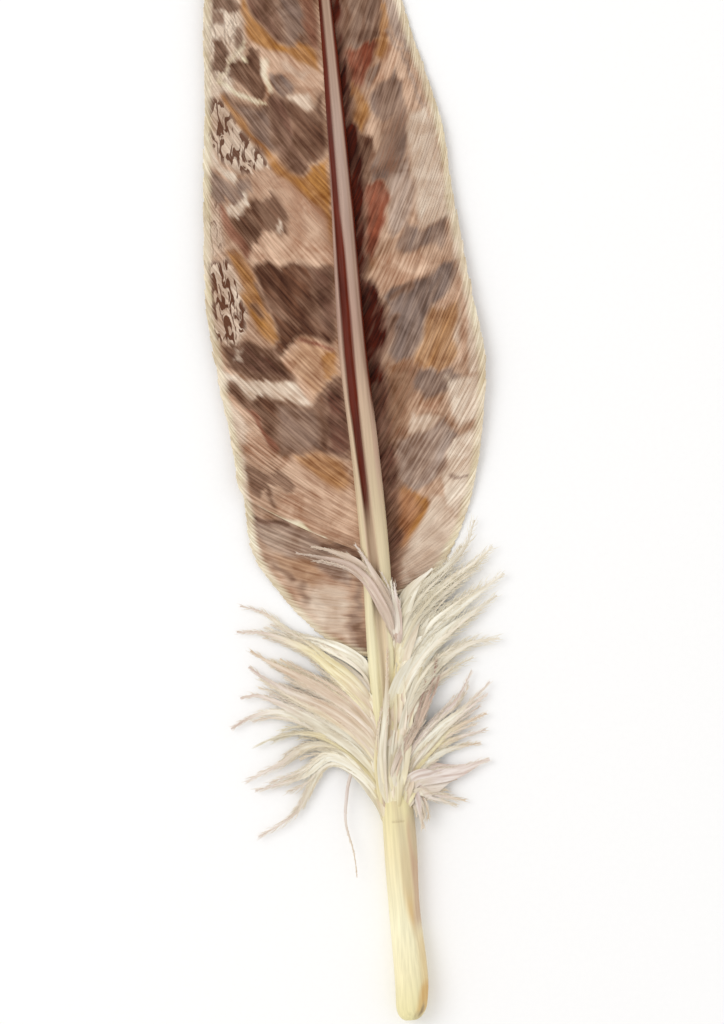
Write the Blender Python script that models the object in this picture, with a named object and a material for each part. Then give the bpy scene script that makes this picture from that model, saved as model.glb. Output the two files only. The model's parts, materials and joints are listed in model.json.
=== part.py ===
"""A turkey wing feather, 250 mm long, lying on its upper side so that the grooved underside of its shaft shows.

The pieces are the shaft, the webs of hooked barbs on each side of it, and the tufts of loose down at its foot.
The feather is drawn in millimetres in its own plan: y runs up the shaft from the foot of the quill, x runs to
the right, and z is height above the surface that it lies on. A parent empty then puts the origin at the bottom
centre of the whole feather.
"""

import math

import bmesh
import bpy
from mathutils import Vector

MM = 0.001

# Shaft, as (distance up the shaft, size) stations.
SHAFT_LENGTH = 249.0
SHAFT_WIDTH = [(0, 6.2), (8, 7.0), (24, 6.5), (36, 6.9), (48, 6.5), (66, 6.0), (118, 5.9), (141, 5.8), (160, 5.1),
               (178, 4.3), (196, 3.6), (212, 2.9), (235, 1.7), (249, 0.8)]
SHAFT_HEIGHT_SHARE = [(0, 0.94), (40, 0.92), (100, 0.84), (180, 0.8), (249, 0.8)]
SHAFT_SWAY = [(0, -0.6), (8, 0.2), (24, 0.0), (42, 0.4), (67, -0.3), (98, 0.4), (120, 0.1), (141, -0.6), (178, 0.0),
              (212, 0.0), (232, -0.9), (249, -2.8)]
SHAFT_SIDES = 28
SHAFT_STEP = 5.0
FOOT_ROUND = 3.4          # length of the rounded foot of the quill
FOOT_LIFT = 1.5           # the foot of the quill stands this far off the surface
FOOT_LIFT_LENGTH = 26.0
TIP_LIFT = 3.6            # so does the tip of the feather
TIP_LIFT_START = 196.0
BACK_FLAT = 0.10          # share of the shaft's height cut flat along its back
GROOVE_START = 48.0       # the groove runs from the top of the quill to the tip
GROOVE_FADE_IN = 34.0
GROOVE_DEPTH_SHARE = 0.2
GROOVE_WIDTH_SHARE = 0.2
GROOVE_OFFSET_SHARE = -0.1
QUILL_TOP = 41.8          # the small pit where the quill ends and the groove begins
QUILL_PIT_DEPTH = 0.45
QUILL_PIT_WIDTH = 1.3
QUILL_PIT_LENGTH = 0.9
FOOT_PIT_DEPTH = 1.0

# Webs. Each guide barb is (root on the shaft, tip x, tip y).
WEB_THICKNESS = 0.7
GAP = 0.4                 # clearance between neighbouring pieces
WEB_WIDTH = 28.0
ROOT_LIFT = 1.3           # barbs leave the shaft's side this far above its back
ROOT_RUN = 9.0
CURL_START = 0.45         # share of the web's width where its edge begins to rise
BARB_REACH = 0.55         # a barb's control point, as a share of its run
BARB_BOW = 0.10
LEFT_GUIDES = [(98.6, -26.8, 112.6), (106, -27.6, 122), (116, -28.8, 135), (128, -30.1, 150), (142, -29.6, 166),
               (158, -28.2, 183), (176, -26.6, 200), (194, -25.2, 217), (210, -22.4, 231), (224, -17.4, 241),
               (236, -11.0, 247.4), (244, -6.6, 249.6), (247.6, -3.9, 249.9)]
LOBE_GUIDES = [(77, -6.8, 77.9), (80, -11.4, 81), (83.6, -15.8, 85.6), (87.4, -20.4, 91.6), (91, -24.2, 98),
               (94.4, -25.6, 104.2), (97.4, -25.8, 110.6)]
RIGHT_GUIDES = [(89, 8.6, 90.4), (92, 13.2, 93.2), (95.6, 18, 100.4), (100, 22, 110), (106, 25, 122.6),
                (114, 26.8, 137), (124, 25.6, 150.6), (138, 23.6, 166), (152, 22.6, 181), (168, 20.6, 194),
                (182, 17.6, 206), (196, 15.2, 217.6), (210, 12.6, 228.6), (222, 9.2, 237.8), (234, 4.8, 245.6),
                (243, 0.6, 249.4), (247.4, -1.7, 250.2)]
EDGE_CURL_LEFT = 2.6
EDGE_CURL_LOBE = 1.4
EDGE_CURL_RIGHT = 3.2

# Down. Each guide barb is a few points (x, y, z) from its root outwards; z is the tuft's lower face there.
TUFT_LEFT_UPPER = [
    [(-4.2, 55.5, 2.4), (-12.0, 62.6, 2.6), (-21.5, 68.2, 2.6), (-30.4, 69.8, 2.2)],
    [(-4.1, 61.0, 2.4), (-11.0, 68.2, 2.8), (-20.6, 73.6, 3.0), (-28.3, 77.0, 2.4)],
    [(-4.1, 67.0, 2.4), (-11.5, 73.8, 2.9), (-20.0, 80.6, 3.0), (-29.6, 84.0, 2.4)],
    [(-4.1, 74.0, 2.5), (-12.2, 79.8, 3.0), (-20.0, 83.9, 3.0), (-28.9, 89.0, 2.4)],
]
TUFT_LEFT_LOWER = [
    [(-4.4, 45.6, 2.2), (-10.6, 52.8, 2.4), (-18.0, 49.0, 2.0), (-29.3, 41.3, 0.9)],
    [(-4.4, 47.4, 2.2), (-11.6, 55.0, 2.6), (-19.6, 54.0, 2.2), (-30.6, 51.4, 1.2)],
    [(-4.3, 49.8, 2.2), (-12.4, 57.6, 2.6), (-21.2, 61.0, 2.4), (-31.6, 58.4, 1.6)],
    [(-4.3, 52.6, 2.2), (-12.6, 61.2, 2.6), (-21.8, 66.4, 2.4), (-33.2, 64.4, 1.8)],
]
TUFT_RIGHT_UPPER = [
    [(4.4, 60.0, 2.4), (9.4, 66.4, 2.6), (14.4, 70.6, 2.8), (19.4, 74.0, 2.4)],
    [(4.3, 66.0, 2.4), (11.0, 73.4, 2.8), (18.0, 77.8, 3.0), (25.0, 79.4, 2.4)],
    [(4.3, 72.0, 2.4), (11.6, 80.6, 3.0), (19.0, 86.0, 3.2), (27.0, 91.2, 2.8)],
    [(4.4, 80.0, 2.4), (9.8, 88.6, 3.2), (15.8, 95.0, 3.6), (22.2, 102.4, 3.4)],
]
TUFT_RIGHT_LOWER = [
    [(4.6, 45.0, 2.0), (7.6, 43.8, 1.6), (11.0, 43.6, 1.2), (14.6, 44.2, 0.9)],
    [(4.7, 47.6, 2.2), (9.6, 48.6, 2.0), (14.8, 49.6, 1.6), (20.4, 51.6, 1.2)],
    [(4.7, 50.4, 2.2), (10.0, 54.6, 2.4), (15.4, 58.2, 2.2), (20.6, 60.6, 1.6)],
    [(4.6, 54.0, 2.4), (9.6, 60.0, 2.6), (14.8, 64.4, 2.6), (20.6, 69.6, 2.0)],
]
TUFT_OVER_SHAFT = [
    [(-2.6, 46.6, 5.7), (-2.2, 60.0, 5.6), (0.4, 78.0, 5.3), (-4.4, 92.6, 5.2), (-10.7, 99.4, 3.4)],
    [(0.6, 45.6, 6.0), (1.4, 60.0, 5.8), (2.6, 76.0, 5.6), (2.6, 88.0, 5.6), (1.0, 97.0, 5.4)],
    [(3.4, 46.6, 5.8), (5.0, 60.0, 6.0), (6.8, 72.0, 6.2), (8.2, 82.0, 6.4), (8.6, 91.0, 6.4)],
]
TUFT_THICKNESS = 2.6
TUFT_NOTCH = 0.24         # how far the edge of a tuft falls back between two guide barbs
LAYER_THICKNESS = 1.3     # the thin layer of down over the shaft
LOOSE_BARB = [(-4.4, 43.9, 1.4), (-7.4, 47.6, 1.3), (-9.6, 46.2, 1.2), (-10.8, 42.3, 1.0), (-10.0, 36.3, 0.8),
              (-9.7, 30.6, 0.7)]
LOOSE_BARB_RADIUS = 0.45


def between(low, high, at):
    """0 below low, 1 above high, and a smooth step from one to the other."""
    share = min(1.0, max(0.0, (at - low) / (high - low)))
    return share * share * (3 - 2 * share)


def along(stations, at):
    """The smooth curve through (place, value) stations, read at one place."""
    places = [place for place, _ in stations]
    values = [value for _, value in stations]
    if at <= places[0]:
        return values[0]
    if at >= places[-1]:
        return values[-1]
    i = max(k for k, place in enumerate(places[:-1]) if place <= at)

    def slope(k):
        low, high = max(k - 1, 0), min(k + 1, len(places) - 1)
        return (values[high] - values[low]) / (places[high] - places[low])

    span = places[i + 1] - places[i]
    t = (at - places[i]) / span
    return (values[i] * (2 * t**3 - 3 * t**2 + 1) + slope(i) * span * (t**3 - 2 * t**2 + t)
            + values[i + 1] * (3 * t**2 - 2 * t**3) + slope(i + 1) * span * (t**3 - t**2))


def through(points, share):
    """The smooth curve through a list of equally spaced points, read at a share of its length."""
    return [along([(i / (len(points) - 1), p[axis]) for i, p in enumerate(points)], share)
            for axis in range(len(points[0]))]


def shaft_back(y):
    """Height of the shaft's back, which lies on the surface except at its two ends."""
    foot = max(0.0, 1 - y / FOOT_LIFT_LENGTH) ** 2 * FOOT_LIFT
    tip = max(0.0, (y - TIP_LIFT_START) / (SHAFT_LENGTH - TIP_LIFT_START)) ** 2 * TIP_LIFT
    return foot + tip


def shaft_side(y):
    return along(SHAFT_WIDTH, y) / 2


def finish(name, mesh, color, roughness):
    """An object for a finished mesh, with its own plain material."""
    material = bpy.data.materials.new(name)
    material.use_nodes = True
    shader = material.node_tree.nodes["Principled BSDF"]
    shader.inputs["Base Color"].default_value = (*color, 1.0)
    shader.inputs["Roughness"].default_value = roughness
    shader.inputs["Metallic"].default_value = 0.0
    mesh.materials.append(material)
    mesh.shade_smooth()
    mesh.set_sharp_from_angle(angle=math.radians(40))
    obj = bpy.data.objects.new(name, mesh)
    bpy.context.scene.collection.objects.link(obj)
    return obj


def shaft_section(y):
    """One ring round the shaft: a squared oval, flat along the back and grooved along the front."""
    swell = min(1.0, y / FOOT_ROUND)
    dome = math.sqrt(max(0.0, 1 - (1 - swell) ** 2)) * 0.72 + 0.28
    width = along(SHAFT_WIDTH, y) * dome
    height = along(SHAFT_WIDTH, y) * along(SHAFT_HEIGHT_SHARE, y)
    squareness = 2.0 + 0.7 * between(QUILL_TOP, GROOVE_START + GROOVE_FADE_IN, y)
    centre_x = along(SHAFT_SWAY, y)
    centre_z = shaft_back(y) + height * (0.5 - BACK_FLAT)
    groove = GROOVE_DEPTH_SHARE * height * between(GROOVE_START, GROOVE_START + GROOVE_FADE_IN, y)
    ring = []
    for i in range(SHAFT_SIDES):
        angle = 2 * math.pi * (i + 0.5) / SHAFT_SIDES
        c, s = math.cos(angle), math.sin(angle)
        x = math.copysign(abs(c) ** (2 / squareness), c) * width / 2
        z = math.copysign(abs(s) ** (2 / squareness), s) * height * dome / 2
        if s > 0:
            off = (x / width - GROOVE_OFFSET_SHARE) / GROOVE_WIDTH_SHARE
            z -= groove * math.exp(-off * off)
            pit = (x / QUILL_PIT_WIDTH) ** 2 + ((y - QUILL_TOP) / QUILL_PIT_LENGTH) ** 2
            z -= QUILL_PIT_DEPTH * math.exp(-pit)
        z = max(z, -height * (0.5 - BACK_FLAT))
        ring.append(Vector((centre_x + x, y, centre_z + z)) * MM)
    return ring


def build_shaft():
    """The quill and the rachis, which grew as one tapering rod, with the open foot as a pit."""
    stations = [0.0, 0.5, 1.1, 1.9, 2.6, FOOT_ROUND, 5.5]
    stations += [8 + SHAFT_STEP * i for i in range(int((SHAFT_LENGTH - 8) / SHAFT_STEP) + 1)]
    stations += [QUILL_TOP - 1.4, QUILL_TOP - 0.6, QUILL_TOP, QUILL_TOP + 0.6, QUILL_TOP + 1.4, SHAFT_LENGTH]
    bm = bmesh.new()
    rings = []
    for y in sorted(set(stations)):
        ring = [bm.verts.new(point) for point in shaft_section(y)]
        rings.append([bm.edges.new((ring[i], ring[(i + 1) % SHAFT_SIDES])) for i in range(SHAFT_SIDES)])
    for lower, upper in zip(rings, rings[1:]):
        bmesh.ops.bridge_loops(bm, edges=lower + upper)
    bmesh.ops.holes_fill(bm, edges=rings[0] + rings[-1], sides=0)
    foot = min(bm.faces, key=lambda face: face.calc_center_median().y)
    bmesh.ops.inset_individual(bm, faces=[foot], thickness=0.45 * MM)
    bmesh.ops.translate(bm, verts=foot.verts, vec=Vector((0, FOOT_PIT_DEPTH, 0)) * MM)
    bmesh.ops.recalc_face_normals(bm, faces=bm.faces)
    mesh = bpy.data.meshes.new("quill_shaft")
    bm.to_mesh(mesh)
    bm.free()
    return finish("quill_shaft", mesh, (0.80, 0.71, 0.52), 0.45)


def build_sheet(name, place, fullness, rows, columns, thickness, color, roughness):
    """A sheet laid out by place(u, v), then thickened upwards by fullness(v). u and v run from 0 to 1."""
    bm = bmesh.new()
    bmesh.ops.create_grid(bm, x_segments=rows, y_segments=columns, size=0.5)
    weights = bm.verts.layers.deform.verify()
    for vert in bm.verts:
        u, v = vert.co.x + 0.5, vert.co.y + 0.5
        vert[weights][0] = fullness(v)
        vert.co = Vector(place(u, v)) * MM
    bm.normal_update()
    if sum(face.normal.z for face in bm.faces) < 0:
        bmesh.ops.reverse_faces(bm, faces=bm.faces)
    mesh = bpy.data.meshes.new(name)
    bm.to_mesh(mesh)
    bm.free()
    obj = finish(name, mesh, color, roughness)
    obj.vertex_groups.new(name="fullness")
    solidify = obj.modifiers.new("thickness", "SOLIDIFY")
    solidify.vertex_group = "fullness"
    solidify.thickness = thickness * MM
    solidify.offset = 1.0
    return obj


def web_height(x, y, edge_curl):
    """Height of a web's lower face: it leaves the shaft's side, settles on the surface and curls up at its edge."""
    out = abs(x - along(SHAFT_SWAY, y)) - shaft_side(min(y, SHAFT_LENGTH))
    leaving = ROOT_LIFT * shaft_side(y) / shaft_side(QUILL_TOP) * (1 - between(0, ROOT_RUN, out))
    return shaft_back(y) + leaving + edge_curl * between(CURL_START * WEB_WIDTH, WEB_WIDTH, out)


def build_web(name, guides, side, edge_curl, rows, columns, color):
    """One web: barbs side by side, each bowed from the shaft's side towards the tip of the feather."""

    def place(u, v):
        root_y, tip_x, tip_y = through(guides, u)
        root_x = along(SHAFT_SWAY, root_y) + side * (shaft_side(root_y) + GAP)
        turn_x = root_x + (tip_x - root_x) * BARB_REACH
        turn_y = root_y + (tip_y - root_y) * (BARB_REACH - BARB_BOW)
        x = (1 - v) ** 2 * root_x + 2 * v * (1 - v) * turn_x + v * v * tip_x
        y = (1 - v) ** 2 * root_y + 2 * v * (1 - v) * turn_y + v * v * tip_y
        return x, y, web_height(x, y, edge_curl)

    def fullness(v):
        return 1 - 0.5 * v

    return build_sheet(name, place, fullness, rows, columns, WEB_THICKNESS, color, 0.7)


def build_tuft(name, guides, rows, columns, thickness=TUFT_THICKNESS):
    """One tuft of down: a soft fan between its guide barbs, with a fingered edge, thin at its root and tips."""

    def place(u, v):
        notch = TUFT_NOTCH * (1 - math.cos(2 * math.pi * (len(guides) - 1) * u)) / 2
        return through([through(guide, v * (1 - notch * v * v)) for guide in guides], u)

    def fullness(v):
        return 0.3 + 0.7 * math.sin(math.pi * min(1.0, 0.15 + 0.85 * v)) ** 0.7

    return build_sheet(name, place, fullness, rows, columns, thickness, (0.80, 0.73, 0.62), 0.9)


def build_loose_barb():
    """The single downy barb that hangs away from the left tuft."""
    curve = bpy.data.curves.new("loose_down_barb", "CURVE")
    curve.dimensions = "3D"
    curve.bevel_depth = LOOSE_BARB_RADIUS * MM
    curve.bevel_resolution = 2
    curve.use_fill_caps = True
    spline = curve.splines.new("POLY")
    count = 22
    spline.points.add(count - 1)
    for i, point in enumerate(spline.points):
        point.co = (*(Vector(through(LOOSE_BARB, i / (count - 1))) * MM), 1.0)
    material = bpy.data.materials.new("loose_down_barb")
    material.use_nodes = True
    shader = material.node_tree.nodes["Principled BSDF"]
    shader.inputs["Base Color"].default_value = (0.62, 0.50, 0.45, 1.0)
    shader.inputs["Roughness"].default_value = 0.9
    curve.materials.append(material)
    obj = bpy.data.objects.new("loose_down_barb", curve)
    bpy.context.scene.collection.objects.link(obj)
    return obj


def set_origin(parts):
    """Puts the bottom centre of the whole feather at the origin, by a parent empty."""
    bpy.context.view_layer.update()
    graph = bpy.context.evaluated_depsgraph_get()
    points = []
    for part in parts:
        evaluated = part.evaluated_get(graph)
        points += [vert.co.copy() for vert in evaluated.to_mesh().vertices]
        evaluated.to_mesh_clear()
    low = Vector(min(point[axis] for point in points) for axis in range(3))
    high = Vector(max(point[axis] for point in points) for axis in range(3))
    frame = bpy.data.objects.new("feather", None)
    bpy.context.scene.collection.objects.link(frame)
    frame.location = (-(low.x + high.x) / 2, -(low.y + high.y) / 2, -low.z)
    for part in parts:
        part.parent = frame


def main():
    for obj in list(bpy.data.objects):
        bpy.data.objects.remove(obj)
    brown = (0.35, 0.22, 0.15)
    parts = [
        build_shaft(),
        build_web("left_web", LEFT_GUIDES, -1, EDGE_CURL_LEFT, 36, 8, brown),
        build_web("left_lower_web", LOBE_GUIDES, -1, EDGE_CURL_LOBE, 10, 7, brown),
        build_web("right_web", RIGHT_GUIDES, 1, EDGE_CURL_RIGHT, 40, 8, brown),
        build_tuft("down_left_upper", TUFT_LEFT_UPPER, 12, 9),
        build_tuft("down_left_lower", TUFT_LEFT_LOWER, 12, 9),
        build_tuft("down_right_upper", TUFT_RIGHT_UPPER, 12, 9),
        build_tuft("down_right_lower", TUFT_RIGHT_LOWER, 12, 8),
        build_tuft("down_over_shaft", TUFT_OVER_SHAFT, 8, 12, thickness=LAYER_THICKNESS),
        build_loose_barb(),
    ]
    set_origin(parts)


main()
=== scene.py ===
import json
import math

import bpy
import numpy as np
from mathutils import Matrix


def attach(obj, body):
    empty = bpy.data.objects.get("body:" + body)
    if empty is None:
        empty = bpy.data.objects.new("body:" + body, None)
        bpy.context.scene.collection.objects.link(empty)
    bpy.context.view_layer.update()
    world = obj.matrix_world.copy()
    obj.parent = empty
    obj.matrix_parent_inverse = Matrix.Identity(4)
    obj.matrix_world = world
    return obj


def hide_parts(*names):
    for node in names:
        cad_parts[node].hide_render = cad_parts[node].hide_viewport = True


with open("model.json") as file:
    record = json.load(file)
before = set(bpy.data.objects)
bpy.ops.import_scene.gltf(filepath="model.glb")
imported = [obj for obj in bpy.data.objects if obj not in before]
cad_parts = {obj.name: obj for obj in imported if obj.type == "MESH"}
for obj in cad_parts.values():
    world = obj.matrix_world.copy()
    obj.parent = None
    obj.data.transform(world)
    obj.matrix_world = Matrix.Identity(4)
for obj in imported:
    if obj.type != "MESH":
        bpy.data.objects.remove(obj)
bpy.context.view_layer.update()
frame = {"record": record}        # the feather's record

# ---------------------------------------------------------------------------------------------------
# Quill and shaft. One horny rod of keratin that grew from the skin: a bare, hollow, glossy quill at
# the foot, and above it a pithy squared shaft with a groove along its inner side. Sizes are in mm, in
# the feather's own plan: y up the shaft from the quill's foot, x to the right, z above the surface.
# ---------------------------------------------------------------------------------------------------
MM = 0.001
SHAFT_LENGTH, RING_SIDES = 249.0, 112
SHAFT_WIDTH = [(0, 6.2), (8, 7.0), (24, 6.5), (36, 6.9), (48, 6.5), (66, 6.0), (118, 5.9), (141, 5.8),
    (160, 5.1), (178, 4.3), (196, 3.6), (212, 2.9), (235, 1.7), (249, 0.8)]
SHAFT_HEIGHT_SHARE = [(0, 0.94), (40, 0.92), (100, 0.84), (180, 0.8), (249, 0.8)]
SHAFT_SWAY = [(0, -0.6), (8, 0.2), (24, 0.0), (42, 0.4), (67, -0.3), (98, 0.4), (120, 0.1), (141, -0.6),
    (178, 0.0), (212, 0.0), (232, -0.9), (249, -2.8)]
FOOT_ROUND, FOOT_LIFT, FOOT_LIFT_LENGTH = 3.4, 1.5, 26.0
TIP_LIFT, TIP_LIFT_START = 3.6, 196.0
BACK_FLAT = 0.10
QUILL_TOP = 41.8
GROOVE_START, GROOVE_FADE_IN, GROOVE_DEPTH = 48.0, 34.0, 0.2      # the depth is a share of the rod's height
GROOVE_MIDDLE = [(80, 0.0), (110, -0.7), (130, -1.2), (150, -1.0), (200, -1.2), (215, -1.2), (249, 0.2)]
GROOVE_HALF = [(80, 1.0), (110, 0.85), (130, 1.0), (200, 0.65), (249, 0.2)]
PIT_DEPTH, PIT_HALF_WIDTH, PIT_HALF_LENGTH, DENT_DEPTH = 0.22, 1.3, 0.28, 0.05
QUILL_SQUARENESS, SHAFT_SQUARENESS = 2.0, 2.7
MOUTH_RINGS = [(0.22, 2.4), (0.42, 1.6), (0.55, 0.5), (0.66, 0.02), (0.84, -0.12)]    # (share of rim, depth)
REST_FACE_UP_SHAFT = 100.0    # the record's resting face is this far up the shaft, on its middle line
plan_origin = np.array(frame["record"]["mounts"][0]["pos_m"]) - (0, REST_FACE_UP_SHAFT * MM, 0)


def linear(hex_colour):
    """The linear colour of an sRGB hex value."""
    parts = [int(hex_colour[i:i + 2], 16) / 255 for i in (0, 2, 4)]
    return (*(p / 12.92 if p <= 0.04045 else ((p + 0.055) / 1.055) ** 2.4 for p in parts), 1.0)


def add_node(tree, kind, settings=None, inputs=None):
    """A node with its own settings, and its inputs set to values or linked to other nodes' sockets."""
    node = tree.nodes.new(kind)
    for name, value in (settings or {}).items():
        setattr(node, name, value)
    for name, value in (inputs or {}).items():
        if isinstance(value, bpy.types.NodeSocket):
            tree.links.new(value, node.inputs[name])
        else:
            node.inputs[name].default_value = value
    return node


def new_material(name):
    """An empty node material."""
    material = bpy.data.materials.new(name)
    material.use_nodes = True
    material.node_tree.nodes.clear()
    return material


def smooth_step(low, high, at):
    """0 below low, 1 above high, and a smooth step between them."""
    share = np.clip((np.asarray(at, float) - low) / (high - low), 0, 1)
    return share * share * (3 - 2 * share)


def curve_through(stations, at):
    """The smooth curve through (place, value, ...) stations, read at every place asked for."""
    stations = np.asarray(stations, float)
    places, values = stations[:, 0], stations[:, 1:]
    order = np.arange(len(places))
    low, high = np.maximum(order - 1, 0), np.minimum(order + 1, len(places) - 1)
    slopes = (values[high] - values[low]) / (places[high] - places[low])[:, None]
    at = np.clip(np.asarray(at, float), places[0], places[-1])
    i = np.clip(np.searchsorted(places, at, side="right") - 1, 0, len(places) - 2)
    span = (places[i + 1] - places[i])[..., None]
    t = (at - places[i])[..., None] / span
    read = (values[i] * (2 * t**3 - 3 * t**2 + 1) + slopes[i] * span * (t**3 - 2 * t**2 + t)
            + values[i + 1] * (3 * t**2 - 2 * t**3) + slopes[i + 1] * span * (t**3 - t**2))
    return read[..., 0] if read.shape[-1] == 1 else read


def pack_amounts(prefix, laid):
    """Amounts of named pigments as traits that hold three each: prefix_0, prefix_1 and so on."""
    amounts = list(laid.values())
    amounts += [0 * amounts[0]] * (-len(amounts) % 3)
    return {f"{prefix}_{i // 3}": np.stack(amounts[i:i + 3], -1) for i in range(0, len(amounts), 3)}


def read_amounts(tree, prefix, names):
    """The socket that holds the amount of each named pigment, when they are packed in that order."""
    triples = [add_node(tree, "ShaderNodeSeparateXYZ", {}, {0: add_node(
        tree, "ShaderNodeAttribute", {"attribute_name": f"{prefix}_{i}"}).outputs["Vector"]})
        for i in range(-(-len(names) // 3))]
    return {name: triples[i // 3].outputs[i % 3] for i, name in enumerate(names)}


def paint_over(tree, colour, amount, shade, deep, light):
    """A colour with some of a two-tone pigment laid over it. The shade says where that is deep or light."""
    pigment = add_node(tree, "ShaderNodeMix", {"data_type": "RGBA"},
                       {0: shade, 6: linear(deep), 7: linear(light)})
    return add_node(tree, "ShaderNodeMix", {"data_type": "RGBA"},
                    {0: amount, 6: colour, 7: pigment.outputs[2]}).outputs[2]


def finish_surface(tree, colour, grain, rough, relief, bump, looks):
    """The end of a material: its roughness follows a grain between two values; its bump is (strength, mm)."""
    roughness = add_node(tree, "ShaderNodeMapRange", {}, {"Value": grain, "From Min": 0.3, "From Max": 0.7,
                                                          "To Min": rough[0], "To Max": rough[1]})
    raised = add_node(tree, "ShaderNodeBump", {},
                      {"Height": relief, "Strength": bump[0], "Distance": bump[1] * MM})
    shader = add_node(tree, "ShaderNodeBsdfPrincipled", {}, {
        "Base Color": colour, "Roughness": roughness.outputs[0], "Normal": raised.outputs[0], **looks})
    add_node(tree, "ShaderNodeOutputMaterial", {}, {"Surface": shader.outputs[0]})


def make_piece(name, groups, material):
    """One closed mesh piece made of rings of points, in place of the solid of the same name.

    Each group is (rings, traits, columns, patch). rings[rod, station, side] are points in the plan. traits
    are the values that the material reads, by name, for each rod, station and side. Each rod is unwrapped
    into a cell of its own, columns across, in the patch (left, bottom, right, top) of the square.
    """
    points, corners, totals, unwrapped, values = [], [], [], [], {}
    first = 0
    for rings, traits, columns, patch in groups:
        rods, stations, sides, _ = rings.shape
        middle = rings[:, stations // 2]
        spokes = middle - middle.mean(axis=1, keepdims=True)
        turn = np.cross(spokes, np.roll(spokes, -1, axis=1)).sum(axis=1)
        ahead = rings[:, stations // 2 + 1].mean(axis=1) - rings[:, stations // 2 - 1].mean(axis=1)
        backwards = (turn * ahead).sum(axis=1) < 0
        rings = np.where(backwards[:, None, None, None], rings[:, :, ::-1], rings)
        points.append(rings.reshape(-1, 3))
        for key, trait in traits.items():
            full = np.broadcast_to(trait, (rods, stations, sides, 3))
            full = np.where(backwards[:, None, None, None], full[:, :, ::-1], full)
            values.setdefault(key, []).append(full.reshape(-1, 3))

        rod, station, side = np.indices((rods, stations - 1, sides))
        index = lambda s, k: first + (rod * stations + s) * sides + k % sides
        quads = np.stack([index(station, side), index(station, side + 1),
                          index(station + 1, side + 1), index(station + 1, side)], axis=-1)
        left, bottom, right, top = patch
        rows = -(-rods // columns)
        cell_w, cell_h = (right - left) / columns, (top - bottom) / rows
        cell_x, cell_y = left + (rod % columns) * cell_w, bottom + (rod // columns) * cell_h
        across = lambda k: cell_x + cell_w * (0.04 + 0.92 * k / sides)
        up = lambda s: cell_y + cell_h * (0.08 + 0.84 * s / (stations - 1))
        quad_map = np.stack([np.stack([across(k), up(s)], -1) for k, s in (
            (side, station), (side + 1, station), (side + 1, station + 1), (side, station + 1))], axis=-2)
        corners.append(quads.reshape(-1))
        totals.append(np.full(quads.shape[0] * quads.shape[1] * quads.shape[2], 4))
        unwrapped.append(quad_map.reshape(-1, 2))

        one, around = np.arange(rods)[:, None], np.arange(sides)[None, :]
        circle = 2 * math.pi * around / sides
        for end, at, order in ((0, 0.035, around[:, ::-1]), (stations - 1, 0.965, around)):
            corners.append((first + (one * stations + end) * sides + order).reshape(-1))
            totals.append(np.full(rods, sides))
            cap_x = left + (one % columns + 0.5 + 0.3 * np.cos(circle)) * cell_w
            cap_y = bottom + (one // columns + at + 0.025 * np.sin(circle)) * cell_h
            unwrapped.append(np.stack([cap_x, cap_y], -1).reshape(-1, 2))
        first += rings.shape[0] * stations * sides

    points, corners, totals = np.concatenate(points), np.concatenate(corners), np.concatenate(totals)
    mesh = bpy.data.meshes.new(name)
    mesh.vertices.add(len(points))
    mesh.vertices.foreach_set("co", (points * MM + plan_origin).astype(np.float32).ravel())
    mesh.loops.add(len(corners))
    mesh.loops.foreach_set("vertex_index", corners.astype(np.int32))
    mesh.polygons.add(len(totals))
    mesh.polygons.foreach_set("loop_start", np.concatenate([[0], np.cumsum(totals)[:-1]]).astype(np.int32))
    mesh.update(calc_edges=True)
    unwrap = mesh.uv_layers.new(name="OFBake")
    unwrap.data.foreach_set("uv", np.concatenate(unwrapped).astype(np.float32).ravel())
    for key, blocks in values.items():
        trait = mesh.attributes.new(key, "FLOAT_VECTOR", "POINT")
        trait.data.foreach_set("vector", np.concatenate(blocks).astype(np.float32).ravel())
    mesh.shade_smooth()
    mesh.set_sharp_from_angle(angle=math.radians(50))
    mesh.materials.append(material)
    piece = bpy.data.objects.new(name + "_piece", mesh)
    bpy.context.scene.collection.objects.link(piece)
    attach(piece, "root")
    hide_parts(name)


def shaft_back(y):
    """Height of the shaft's back, which lies on the surface except at its two ends."""
    return (np.maximum(0, 1 - y / FOOT_LIFT_LENGTH) ** 2 * FOOT_LIFT
            + np.maximum(0, (y - TIP_LIFT_START) / (SHAFT_LENGTH - TIP_LIFT_START)) ** 2 * TIP_LIFT)


def shaft_front(off, y):
    """Height of the shaft's front above the surface, off being the distance from its middle line."""
    width, share = curve_through(SHAFT_WIDTH, y), curve_through(SHAFT_HEIGHT_SHARE, y)
    round_off = np.sqrt(np.clip(1 - (2 * off / width) ** 2, 0, 1))
    return shaft_back(y) + width * share * (0.5 - BACK_FLAT + 0.5 * round_off)
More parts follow.
